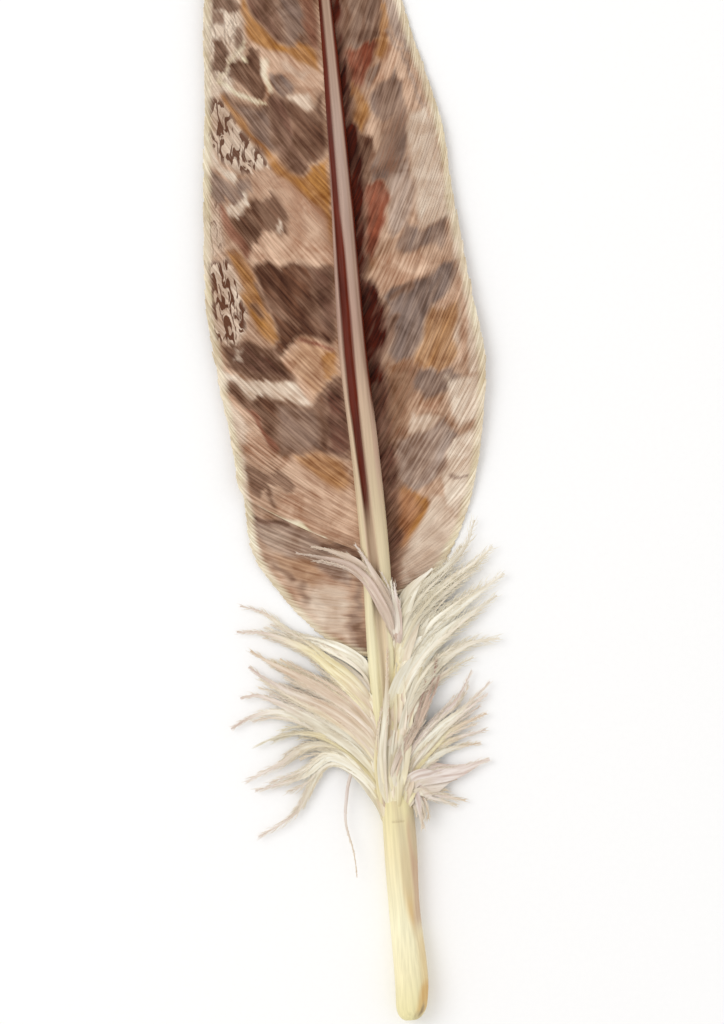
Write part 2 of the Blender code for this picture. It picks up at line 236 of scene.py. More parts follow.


# Tints along the rod, some of them painted shade down its right flank: (pigment, strength, softness across,
# fade at the ends, [(y, left, right)...]).
SHAFT_TINTS = [
    # Painted shade down the quill's right flank, the side away from the lamp: ochre near the foot, and a dun
    # band higher up.
    ("ochre", 0.35, 0.9, 3, [(3, 1.8, 4.4), (8, 2.4, 4.4), (14, 2.2, 4.2), (19, 1.9, 3.6)]),
    ("ochre", 0.5, 0.7, 1.2, [(1.4, 0.4, 3.4), (3, 1.0, 3.6), (6, 1.8, 4.2), (8, 2.6, 4.2)]),
    ("umber", 0.6, 0.25, 0.6, [(1.0, 0.9, 1.5), (1.8, 1.4, 2.2), (2.8, 1.9, 2.4), (3.4, 2.1, 2.4)]),
    ("umber", 0.3, 0.4, 0.6, [(0.0, -0.2, 1.4), (0.9, 0.0, 1.6), (1.6, 0.3, 1.6)]),
    # Painted shade: a dun band down the quill's right flank, away from the lamp.
    ("dun_shade", 0.7, 0.5, 2.2, [(19.6, 2.0, 4), (21, 1.7, 4), (26, 2.2, 4), (32, 2.0, 4.4), (38, 1.9, 4.6),
        (42, 2.0, 4)]),
    ("ochre", 0.5, 0.7, 3, [(19, 1.2, 2.2), (23, 0.6, 2.2), (27, 0.2, 2.2), (31, 0.2, 2.0), (36, 0.3, 1.6)]),
    ("grey", 0.5, 0.6, 4, [(26, 0.4, 1.9), (34, 0.0, 2.0), (39, -0.2, 1.7), (46, 0.0, 1.2)]),
    ("grey", 0.7, 0.5, 2, [(34, 3.0, 4.6), (40, 2.4, 4.6), (45, 2.6, 4.6), (48, 3, 4.6)]),
    ("umber", 0.45, 0.12, 0.15, [(41.55, -1.0, 1.6), (41.75, -1.1, 1.7)]),
    ("flush", 0.45, 0.4, 6, [(46, -0.7, 0.2), (56, -0.9, 0.4), (66, -0.7, 1.0), (76, -0.6, 1.5),
        (88, -0.9, 1.5)]),
    ("flush", 0.8, 0.35, 5, [(88, -0.9, 1.2), (94, -1.2, 1.0), (100, -1.3, 0.7), (110, -1.4, 0.5),
        (118, -1.8, 0.1)]),
    # Painted shade: umber down the rod's right flank, the side away from the lamp, in this tint and the next.
    ("umber", 0.8, 0.25, 6, [(118, 2.1, 3.4), (130, 1.75, 3.4), (140, 1.7, 3.4), (150, 1.7, 3.2)]),
    ("umber", 0.4, 0.35, 6, [(134, 1.3, 2.2), (142, 1.1, 2.2), (160, 1.0, 2.2), (176, 1.1, 2.2),
        (192, 1.1, 2.0)]),
    ("umber", 0.45, 0.25, 5, [(60, -0.5, 0.1), (70, -0.5, 0.2), (80, -0.4, 0.4), (88, -0.4, 0.6),
        (94, -0.6, 0.8), (100, -1.0, 0.6), (106, -1.0, 0.4), (112, -1.2, 0.2)]),
    # Painted shade: a pinkish-brown strip down the rod's right flank, away from the lamp.
    ("flush", 0.8, 0.3, 8, [(112, 2.1, 3.3), (120, 2.0, 3.3), (130, 1.8, 3.3), (140, 1.7, 3.2),
        (150, 1.5, 2.4), (170, 1.5, 2.4), (190, 1.1, 2.4), (215, 0.6, 1.4), (235, 0.2, 0.8)]),
    ("maroon", 0.95, 0.32, 6, [(104, -1.0, 0.0), (112, -1.4, 0.1), (122, -1.9, -0.2), (130, -2.3, -0.3),
        (140, -2.4, -0.3), (150, -2.4, -0.3), (160, -2.3, -0.4), (170, -2.1, -0.7), (190, -1.9, -0.7),
        (200, -1.8, -0.6), (215, -1.7, -0.7), (230, -2.0, -1.2), (242, -2.6, -2.1)]),
    # Painted shade: dark maroon over the rod's right flank, where the lamp doesn't reach.
    ("maroon", 0.95, 0.35, 5, [(128, 2.3, 5), (136, 1.9, 5), (142, 1.8, 5), (150, 1.75, 5), (160, 1.75, 5),
        (170, 1.75, 5), (180, 1.6, 5), (190, 1.4, 5), (200, 1.15, 5), (215, 0.9, 5), (230, 0.0, 4),
        (244, -1.4, 3)]),
]
# The tints' pigments: (deep tone, light tone), each laid over the ones before it.
HORN_TONES = {"ochre": ("D9A94F", "C98F4E"), "grey": ("C7B48E", "D3C5A6"), "dun_shade": ("B98F74", "CDA88C"),
              "flush": ("C4A08A", "D6B9A2"), "umber": ("6B4630", "8A6448"), "maroon": ("3A0C00", "74260C")}

ups = np.concatenate([[0.15, 0.4, 0.7, 1.1, 1.6, 2.1, 2.7, 3.4], np.arange(4.2, 39.6, 0.9),
                      np.arange(39.8, 44, 0.22), np.arange(44.6, SHAFT_LENGTH, 0.95), [SHAFT_LENGTH]])
turn = 2 * math.pi * (np.arange(RING_SIDES) + 0.5) / RING_SIDES
swell = np.minimum(1, ups / FOOT_ROUND)
dome = (np.sqrt(1 - (1 - swell) ** 2) * 0.72 + 0.28)[:, None]
width = curve_through(SHAFT_WIDTH, ups)[:, None]
height = width * curve_through(SHAFT_HEIGHT_SHARE, ups)[:, None]
squareness = QUILL_SQUARENESS + (SHAFT_SQUARENESS - QUILL_SQUARENESS) * smooth_step(
    QUILL_TOP, GROOVE_START + GROOVE_FADE_IN, ups)[:, None]
cosine, sine = np.cos(turn)[None, :], np.sin(turn)[None, :]
off = np.sign(cosine) * np.abs(cosine) ** (2 / squareness) * width * dome / 2
rise = np.sign(sine) * np.abs(sine) ** (2 / squareness) * height * dome / 2
groove_depth = GROOVE_DEPTH * height * smooth_step(GROOVE_START, GROOVE_START + GROOVE_FADE_IN, ups)[:, None]
groove_middle, groove_half = (
    np.interp(ups, *zip(*stations))[:, None] for stations in (GROOVE_MIDDLE, GROOVE_HALF))
groove = np.exp(-((off - groove_middle) / groove_half) ** 4)     # flat-floored, with rounded shoulders
pit = PIT_DEPTH * np.exp(-((off + 0.1) / PIT_HALF_WIDTH) ** 4
                         - ((ups[:, None] - QUILL_TOP + 0.05 * off ** 2) / PIT_HALF_LENGTH) ** 2)
dents = DENT_DEPTH * np.sin(off * 2.1 + ups[:, None] * 0.23) * np.sin(ups[:, None] * 0.31 + 1.0)
rise = rise + (sine > 0) * (-groove_depth * groove - pit + dents * smooth_step(4, 10, ups)[:, None])
rise = np.maximum(rise, -height * (0.5 - BACK_FLAT))
sway = curve_through(SHAFT_SWAY, ups)[:, None]
shaft_rings = np.stack([sway + off, ups[:, None] + 0 * off,
                        shaft_back(ups)[:, None] + height * (0.5 - BACK_FLAT) + rise], axis=-1)

# The open foot of the quill: the rod turns in at its rim and runs back up as a small blind hole.
mouth = shaft_rings[0].copy()
centre = mouth.mean(axis=0)
throat = [centre + (mouth - centre) * (size, 1, size) + (0, depth, 0) for size, depth in MOUTH_RINGS]
shaft_rings = np.concatenate([np.array(throat), shaft_rings])[None]
plan_x, plan_y = shaft_rings[0, :, :, 0], shaft_rings[0, :, :, 1]
height_share = (shaft_rings[0, :, :, 2] - shaft_back(plan_y)) / curve_through(SHAFT_WIDTH, plan_y)
front = smooth_step(0.02, 0.34, height_share)       # tints fade out down the rod's flanks
laid = {pigment: np.zeros(plan_x.shape) for pigment in HORN_TONES}
for pigment, strength, soft, fade, edges in SHAFT_TINTS:
    edges = np.array(edges, float)
    left, right = (np.interp(plan_y, edges[:, 0], edges[:, side]) for side in (1, 2))
    ends = smooth_step(edges[0, 0] - fade, edges[0, 0] + fade, plan_y) * (
        1 - smooth_step(edges[-1, 0] - fade, edges[-1, 0] + fade, plan_y))
    amount = strength * ends * front * smooth_step(left - soft, left + soft, plan_x) * (
        1 - smooth_step(right - soft, right + soft, plan_x))
    for other in laid:
        laid[other] = laid[other] * (1 - amount)
    laid[pigment] = laid[pigment] + amount

horn = new_material("keratin horn of the shaft")
tree = horn.node_tree
# Horn is pale, smooth and a little clear. Its colour deepens up the shaft, in streaks that run along it.
grain = add_node(tree, "ShaderNodeAttribute", {"attribute_name": "grain"}).outputs["Vector"]
noises = {}
for key, per_mm, detail in (("streaks", (2.2, 0.07, 2.2), 4.0), ("clouds", (0.5, 0.12, 0.5), 2.0)):
    spot = add_node(tree, "ShaderNodeVectorMath", {"operation": "MULTIPLY"}, {0: grain, 1: per_mm})
    noises[key] = add_node(tree, "ShaderNodeTexNoise", {},
                           {"Vector": spot.outputs[0], "Scale": 1.0, "Detail": detail}).outputs["Fac"]
height_up = add_node(tree, "ShaderNodeSeparateXYZ", {}, {0: grain})
share_up = add_node(tree, "ShaderNodeMapRange", {},
                    {"Value": height_up.outputs["Y"], "From Max": SHAFT_LENGTH})
up_colours = add_node(tree, "ShaderNodeValToRGB", {}, {"Fac": share_up.outputs[0]})
HORN_UP_SHAFT = [(0.0, "EADFA9"), (0.04, "F1E6BC"), (0.08, "F4ECC8"), (0.14, "EBDDB2"), (0.19, "E7DAA9"),
                 (0.31, "EFE5BE"), (0.38, "DFCFAB"), (0.44, "D2BD9C"), (0.52, "C8AC92"), (0.59, "B59584"),
                 (0.74, "B2988A"), (0.84, "A68874"), (1.0, "987660")]
for place, _ in HORN_UP_SHAFT[1:-1]:
    up_colours.color_ramp.elements.new(place)
for element, (place, shade) in zip(up_colours.color_ramp.elements, HORN_UP_SHAFT):
    element.position, element.color = place, linear(shade)
pale_streak = add_node(tree, "ShaderNodeMapRange", {}, {"Value": noises["streaks"], "From Min": 0.35,
                                                        "From Max": 0.7, "To Min": 0.90, "To Max": 1.08})
colour = add_node(tree, "ShaderNodeVectorMath", {"operation": "SCALE"},
                  {0: up_colours.outputs["Color"], "Scale": pale_streak.outputs[0]}).outputs[0]
# A tint is thinner along some streaks than along others.
amounts = read_amounts(tree, "horn", HORN_TONES)
streaky = add_node(tree, "ShaderNodeMath", {"operation": "MULTIPLY_ADD"},
                   {0: noises["streaks"], 1: -0.55, 2: 1.375})
for pigment, (deep, light) in HORN_TONES.items():
    amount = add_node(tree, "ShaderNodeMath", {"operation": "MULTIPLY", "use_clamp": True},
                      {0: amounts[pigment], 1: streaky.outputs[0]})
    colour = paint_over(tree, colour, amount.outputs[0], noises["clouds"], deep, light)
finish_surface(tree, colour, noises["streaks"], (0.38, 0.55), noises["streaks"], (0.25, 0.12),
               {"IOR": 1.54, "Specular IOR Level": 0.15})

horn_traits = {key: amount[None] for key, amount in pack_amounts("horn", laid).items()}
make_piece("quill_shaft", [(shaft_rings, {"grain": shaft_rings, **horn_traits}, 1, (0, 0, 1, 1))], horn)

# ---------------------------------------------------------------------------------------------------
# Left web, upper part. About 160 barbs side by side, each a thin blade of keratin that grew from the
# shaft's side. Their barbules hook together into one sheet, which here and there has parted a little.
# ---------------------------------------------------------------------------------------------------
WEB_WIDTH, ROOT_LIFT, ROOT_RUN, CURL_START = 28.0, 1.3, 9.0, 0.45
WIDEST_HALF, ROOT_INSET, SPACING_TRIALS, SPACED_AT = 3.4, 0.35, 900, (0.64, 0.66)
BARB_REACH, BARB_BOW = 0.55, 0.10
BARB_STATIONS, BARB_PITCH, BARB_OVERLAP = 65, 0.68, 0.62      # half a barb's width is a share of its spacing
BARB_HALF_WIDTHS, BARB_TAPER, RIDGE_ROOT, RIDGE_TIP = (0.06, 0.75), 0.75, 0.12, 0.06
# Across a barb: (share of its half width, height in mm, share of the ridge's height).
BARB_PROFILE = [(-1, -0.04, 0), (-0.25, 0, 1), (0.25, 0, 0.9), (1, 0.05, 0), (0, -0.10, 0)]
WEB_OFF_SURFACE, LOWEST_BARB = 0.28, 0.14
THATCH_TURN, THATCH_LENGTH, THATCH_RISE = 3.2, 2.0, 0.10
CLUMP_SIZES, NICK_DEPTH, TIP_SCATTER, TIP_WANDER = (7, 24), 0.10, 0.004, 0.008
SETTLE_SCATTER, SETTLE_WANDER = 0.012, 0.04
SLIP_SCATTER, SLIP_WANDER, SLIP_DRIFT = 0.16, 0.45, 0.35      # how far marks slide along their barbs, in mm
RAGGED_ACROSS, RAGGED_ALONG, RAGGED_SIZE = 0.30, 0.40, 2.6
FRINGE_STRENGTH, FRINGE_OUTER, FRINGE_INNER = 0.8, 0.5, 1.9
# Pigments: (deep tone, light tone), pale ones first, so that dark ones lie over them, and then the fringe,
# which is painted glow and painted highlights.
# Over them all lie flecks and short strokes: (the noise they follow, where it is full, their tone).
VANE_TONES = {"cream": ("C6AA92", "EEDFCC"), "peach": ("A4765A", "DEBDA2"), "lilac": ("745A4B", "BBA698"),
              "ochre": ("7F4A1A", "BA8449"), "slate": ("5F4A40", "947F74"), "rust": ("5E2817", "98533A"),
              "umber": ("3C1E12", "734D38"), "deep": ("200400", "541A08"), "fringe": ("DCCBA6", "F4ECD6")}
VANE_PATTERNS = {"mottle": ("squiggle", 0.56, "65402E"), "strokes": ("hair", 0.62, "74482F")}


def wander(rng, count, span):
    """Smooth random numbers, from about -1 to 1, that change over a span of places."""
    knots = rng.uniform(-1, 1, int(count / span) + 4)
    return curve_through(np.stack([np.arange(len(knots)), knots], 1), 1 + np.arange(count) / span)


def web_height(x, y, edge_curl):
    """Height of a web: it leaves the shaft's side, settles on the surface and curls up towards its edge."""
    side = curve_through(SHAFT_WIDTH, y) / 2
    out = np.abs(x - curve_through(SHAFT_SWAY, y)) - side
    leaving = ROOT_LIFT * side / WIDEST_HALF * (1 - smooth_step(0, ROOT_RUN, out))
    return shaft_back(y) + leaving + edge_curl * smooth_step(CURL_START * WEB_WIDTH, WEB_WIDTH, out)


def inside_by(outline, x, y, line_width=0.0):
    """How far each point is inside a closed outline, or a line of some width, in mm. Outside is negative."""
    start = np.array(outline, float)
    end = np.roll(start, -1, axis=0)
    if line_width:
        start, end = start[:-1], end[:-1]
    px, py = x[..., None], y[..., None]
    run = end - start
    share = np.clip(((px - start[:, 0]) * run[:, 0] + (py - start[:, 1]) * run[:, 1])
                    / np.maximum((run ** 2).sum(1), 1e-9), 0, 1)
    distance = np.hypot(px - start[:, 0] - share * run[:, 0], py - start[:, 1] - share * run[:, 1]).min(-1)
    if line_width:
        return line_width / 2 - distance
    climb = np.where(np.abs(run[:, 1]) < 1e-9, 1e-9, run[:, 1])
    crossed = ((start[:, 1] > py) != (end[:, 1] > py)) & (
        px < start[:, 0] + run[:, 0] * (py - start[:, 1]) / climb)
    return np.where(crossed.sum(-1) % 2 == 1, distance, -distance)


def ripple(rng, x, y, size):
    """Smooth random numbers over the plan, from about -1 to 1, with features of about one size in mm."""
    total = np.zeros(x.shape)
    for direction, wave, phase in zip(rng.uniform(0, 2 * math.pi, 7), rng.uniform(0.6, 1.7, 7),
                                      rng.uniform(0, 2 * math.pi, 7)):
        total += np.sin((x * math.cos(direction) + y * math.sin(direction)) * math.pi / (size * wave) + phase)
    return total / 3


def lay_pigments(x, y, marks):
    """How much of each pigment each point holds, after the marks are laid one over another in their order."""
    laid = {pigment: np.zeros(x.shape) for pigment in (*VANE_TONES, *VANE_PATTERNS)}
    for pigment, strength, soft, outline, *width in marks:
        amount = strength * smooth_step(-soft, soft, inside_by(outline, x, y, *width))
        if pigment in VANE_PATTERNS:
            laid[pigment] = np.maximum(laid[pigment], amount)
            continue
        for other in laid:
            laid[other] = laid[other] * (1 - amount)
        laid[pigment] = laid[pigment] + amount
    return laid


def make_web(name, guides, side, edge_curl, marks, seed, bow=BARB_BOW, lift=None):
    """One web of hooked barbs. Each guide is (root on the shaft, tip x, tip y) of a barb along the way."""
    rng = np.random.default_rng(seed)
    guides = np.array(guides, float)

    def root_of(roots):
        half_shaft = curve_through(SHAFT_WIDTH, roots) / 2
        return np.stack([curve_through(SHAFT_SWAY, roots) + side * (half_shaft - ROOT_INSET), roots], -1)

    def along_barb(start, bend, tip, v):
        v = v[..., None]
        return (1 - v) ** 2 * start[:, None] + 2 * v * (1 - v) * bend[:, None] + v * v * tip[:, None]

    # Barbs are placed so that they stand one pitch apart at two thirds of their length.
    trial = np.linspace(guides[0, 0], guides[-1, 0], SPACING_TRIALS)
    start, tip = root_of(trial), curve_through(guides, trial)
    bend = start + (tip - start) * (BARB_REACH, BARB_REACH - bow)
    pair = along_barb(start, bend, tip, np.broadcast_to(SPACED_AT, (SPACING_TRIALS, 2)))
    run = pair[:, 1] - pair[:, 0]
    run /= np.linalg.norm(run, axis=1, keepdims=True)
    gap = np.gradient(pair[:, 0], axis=0)
    walked = np.cumsum(np.abs(gap[:, 0] * run[:, 1] - gap[:, 1] * run[:, 0])
                       + 0.1 * np.abs(np.gradient(trial)))
    count = int((walked[-1] - walked[0]) / BARB_PITCH)
    roots = np.interp(np.linspace(walked[0], walked[-1], count), walked, trial)
    # Barbs hold together in clumps, whose tips draw in a little and leave a nick in the edge between them.
    member = np.searchsorted(np.cumsum(rng.integers(*CLUMP_SIZES, count)), np.arange(count), side="right")
    middle = np.array([roots[member == m].mean() for m in range(member.max() + 1)])[member]
    squeeze = (NICK_DEPTH * rng.uniform(0, 1, member.max() + 1) ** 3)[member]
    gathered = curve_through(guides, roots + squeeze * (middle - roots))
    start = root_of(roots)
    tips = start + (gathered - start) * (1 + TIP_SCATTER * rng.normal(size=(count, 1))
                                         + TIP_WANDER * wander(rng, count, 9)[:, None])
    bend = start + (curve_through(guides, roots) - start) * (BARB_REACH, BARB_REACH - bow)
    length = np.linalg.norm(bend - start, axis=1) + np.linalg.norm(tips - bend, axis=1)

    v = np.broadcast_to(np.linspace(0, 1, BARB_STATIONS), (count, BARB_STATIONS))
    path = along_barb(start, bend, tips, v)
    ahead = np.gradient(path, axis=1)
    ahead /= np.linalg.norm(ahead, axis=-1, keepdims=True)
    across = np.stack([-ahead[..., 1], ahead[..., 0]], -1) * side
    to_next = np.abs((np.diff(path, axis=0) * across[:-1]).sum(-1))
    spacing = np.maximum(np.concatenate([to_next[:1], to_next]), np.concatenate([to_next, to_next[-1:]]))
    # At the web's edge the barbs turn along it and lie over one another like thatch.
    edge_run = np.gradient(curve_through(guides, roots), axis=0)
    edge_run /= np.maximum(np.linalg.norm(edge_run, axis=1, keepdims=True), 1e-6)
    slant = np.abs(ahead[:, -1, 0] * edge_run[:, 1] - ahead[:, -1, 1] * edge_run[:, 0])
    turn_from = 1 - np.clip(THATCH_TURN / length, 0.02, 0.3)[:, None]
    turned = np.clip((v - turn_from) / (1 - turn_from), 0, 1)
    slowed = np.where(turned > 0, turn_from + (1 - turn_from) * (turned + turned ** 2 - turned ** 3), v)
    along_edge = np.minimum(THATCH_LENGTH, 0.08 * length)[:, None] * turned ** 2
    path = along_barb(start, bend, tips, slowed) + edge_run[:, None] * along_edge[..., None]
    ahead = np.gradient(path, axis=1)
    ahead /= np.linalg.norm(ahead, axis=-1, keepdims=True)
    across = np.stack([-ahead[..., 1], ahead[..., 0]], -1) * side
    half = np.clip(BARB_OVERLAP * spacing, *BARB_HALF_WIDTHS) * (1 - BARB_TAPER * turned ** 2)
    settle = SETTLE_SCATTER * rng.normal(size=count) + SETTLE_WANDER * wander(rng, count, 9)
    height = web_height(path[..., 0], path[..., 1], edge_curl) + WEB_OFF_SURFACE
    height = height + smooth_step(0.05, 0.9, v) * settle[:, None] + THATCH_RISE * turned
    if lift is not None:
        height = height + lift(roots[:, None], v)
    height = np.maximum(height, LOWEST_BARB)
    ridge = (RIDGE_ROOT - (RIDGE_ROOT - RIDGE_TIP) * v) * (1 - 0.6 * turned)
    rings = np.stack([np.concatenate([path + across * (half * a)[..., None],
                                      (height + b + ridge * c)[..., None]], -1)
                      for a, b, c in BARB_PROFILE], axis=2)

    # Marks follow the barbs: each barb carries its share of a mark a little further out or in than the next.
    slip = (SLIP_DRIFT * wander(rng, count, 5) + SLIP_WANDER * wander(rng, count, 1.5)
            + SLIP_SCATTER * rng.normal(size=count))
    slid = rings[..., :2] + (ahead * (slip[:, None] * smooth_step(0.0, 0.12, v))[..., None])[:, :, None]
    x, y = slid[..., 0], slid[..., 1]
    laid = lay_pigments(x + RAGGED_ACROSS * ripple(rng, x, y, RAGGED_SIZE),
                        y + RAGGED_ALONG * ripple(rng, x, y, RAGGED_SIZE), marks)
    # The outer edge is painted pale over a strip about 1.5 mm wide, a painted glow of the thin, see-through
    # barb ends.
    to_edge = (length * np.clip(slant, 0.25, 1))[:, None] * (1 - slowed) + 0.06 * rng.normal(size=(count, 1))
    edge = (FRINGE_STRENGTH + 0.12 * wander(rng, count, 12)[:, None]) * smooth_step(
        FRINGE_INNER, FRINGE_OUTER, to_edge)
    for other in laid:
        laid[other] = laid[other] * (1 - edge[..., None])
    laid["fringe"] = laid["fringe"] + edge[..., None]
    sideways = np.array([a for a, _, _ in BARB_PROFILE]) * half[..., None]
    comb = np.stack(np.broadcast_arrays(
        (v * length[:, None])[..., None], np.arange(count)[:, None, None] * BARB_PITCH + sideways,
        rng.uniform(size=(count, 1, 1))), -1)
    traits = {"comb": comb, "place": rings, **pack_amounts("vane", laid)}
    make_piece(name, [(rings, traits, -(-count // 8), (0, 0, 1, 1))], vane)


vane = new_material("keratin vane of hooked barbs")
tree = vane.node_tree
# A vane is matt and silky along its barbs. Melanin and rust pigments tint it in soft streaks along them.
comb = add_node(tree, "ShaderNodeAttribute", {"attribute_name": "comb"})
comb_axes = add_node(tree, "ShaderNodeSeparateXYZ", {}, {0: comb.outputs["Vector"]})
place = add_node(tree, "ShaderNodeAttribute", {"attribute_name": "place"})
noises = {}
# (name, what it follows, its scale along both axes per mm, detail, how much its features wriggle)
for key, follows, per_mm, detail, wriggle in (
        ("hair", comb, (0.13, 1.7), 3.0, 0.0), ("lock", comb, (0.09, 0.40), 2.0, 0.3),
        ("squiggle", place, (0.85, 0.27), 2.0, 0.9), ("cloud", place, (0.16, 0.16), 3.0, 0.4)):
    spot = add_node(tree, "ShaderNodeVectorMath", {"operation": "MULTIPLY"},
                    {0: follows.outputs["Vector"], 1: (*per_mm, 0.0)})
    noises[key] = add_node(tree, "ShaderNodeTexNoise", {"noise_dimensions": "2D"},
                           {"Vector": spot.outputs[0], "Scale": 1.0, "Detail": detail,
                            "Distortion": wriggle}).outputs["Fac"]
amounts = read_amounts(tree, "vane", [*VANE_TONES, *VANE_PATTERNS])
hair_share, cloud_share = (add_node(tree, "ShaderNodeMapRange", {}, {
    "Value": noises[key], "From Min": low, "From Max": high}).outputs[0]
    for key, low, high in (("hair", 0.35, 0.65), ("cloud", 0.34, 0.66)))
tone_share = add_node(tree, "ShaderNodeMix", {"data_type": "FLOAT"}, {0: 0.55, 2: hair_share, 3: cloud_share})
ground = add_node(tree, "ShaderNodeMix", {"data_type": "RGBA"},
                  {0: tone_share.outputs[0], 6: linear("8E6448"), 7: linear("D2B197")})
colour = ground.outputs[2]
# The edge of a pigment is ragged: streaks of it run further along some locks than along others.
ragged = add_node(tree, "ShaderNodeMath", {"operation": "MULTIPLY_ADD"}, {0: noises["lock"], 1: 0.9, 2: 0.55})
for pigment, (deep, light) in VANE_TONES.items():
    amount = add_node(tree, "ShaderNodeMath", {"operation": "MULTIPLY", "use_clamp": True},
                      {0: amounts[pigment], 1: ragged.outputs[0]})
    colour = paint_over(tree, colour, amount.outputs[0], tone_share.outputs[0], deep, light)
for pattern, (noise, full, dark) in VANE_PATTERNS.items():
    spots = add_node(tree, "ShaderNodeMapRange", {},
                     {"Value": noises[noise], "From Min": 0.5, "From Max": full})
    amount = add_node(tree, "ShaderNodeMath", {"operation": "MULTIPLY", "use_clamp": True},
                      {0: spots.outputs[0], 1: amounts[pattern]})
    colour = add_node(tree, "ShaderNodeMix", {"data_type": "RGBA"},
                      {0: amount.outputs[0], 6: colour, 7: linear(dark)}).outputs[2]
fade = add_node(tree, "ShaderNodeMapRange", {}, {"Value": noises["hair"], "From Min": 0.3, "From Max": 0.7,
                                                 "To Min": 0.92, "To Max": 1.09})
barb_fade = add_node(tree, "ShaderNodeMapRange", {}, {"Value": comb_axes.outputs["Z"], "To Min": 0.95,
                                                      "To Max": 1.05})
both = add_node(tree, "ShaderNodeMath", {"operation": "MULTIPLY"},
                {0: fade.outputs[0], 1: barb_fade.outputs[0]})
colour = add_node(tree, "ShaderNodeVectorMath", {"operation": "SCALE"},
                  {0: colour, "Scale": both.outputs[0]}).outputs[0]
# Barbules stand about 0.03 mm apart, too fine to show: they are drawn ten times as coarse, at a slant.
barbule_place = add_node(tree, "ShaderNodeVectorMath", {"operation": "MULTIPLY"},
                         {0: comb.outputs["Vector"], 1: (3.2, 2.4, 0.0)})
barbules = add_node(tree, "ShaderNodeTexWave", {"bands_direction": "DIAGONAL"},
                    {"Vector": barbule_place.outputs[0], "Scale": 0.32, "Distortion": 1.5, "Detail": 1.0})
finish_surface(tree, colour, noises["hair"], (0.55, 0.72), barbules.outputs["Fac"], (0.35, 0.05),
               {"IOR": 1.54, "Specular IOR Level": 0.08, "Sheen Weight": 0.03, "Sheen Roughness": 0.4})

# Marks are (pigment, strength, softness, outline) in the plan, laid in this order. A fifth value is the width
# of a mark that is a line.
LEFT_GUIDES = [(98.6, -26.8, 112.6), (103, -27.5, 122), (109, -28.7, 135), (119, -30.1, 150),
    (132, -29.6, 166), (147, -28.2, 183), (164, -26.6, 200), (181, -25.2, 217), (198, -22.4, 231),
    (214, -17.4, 241), (229, -11.0, 247.4), (240, -6.6, 249.6), (247, -3.9, 249.9)]
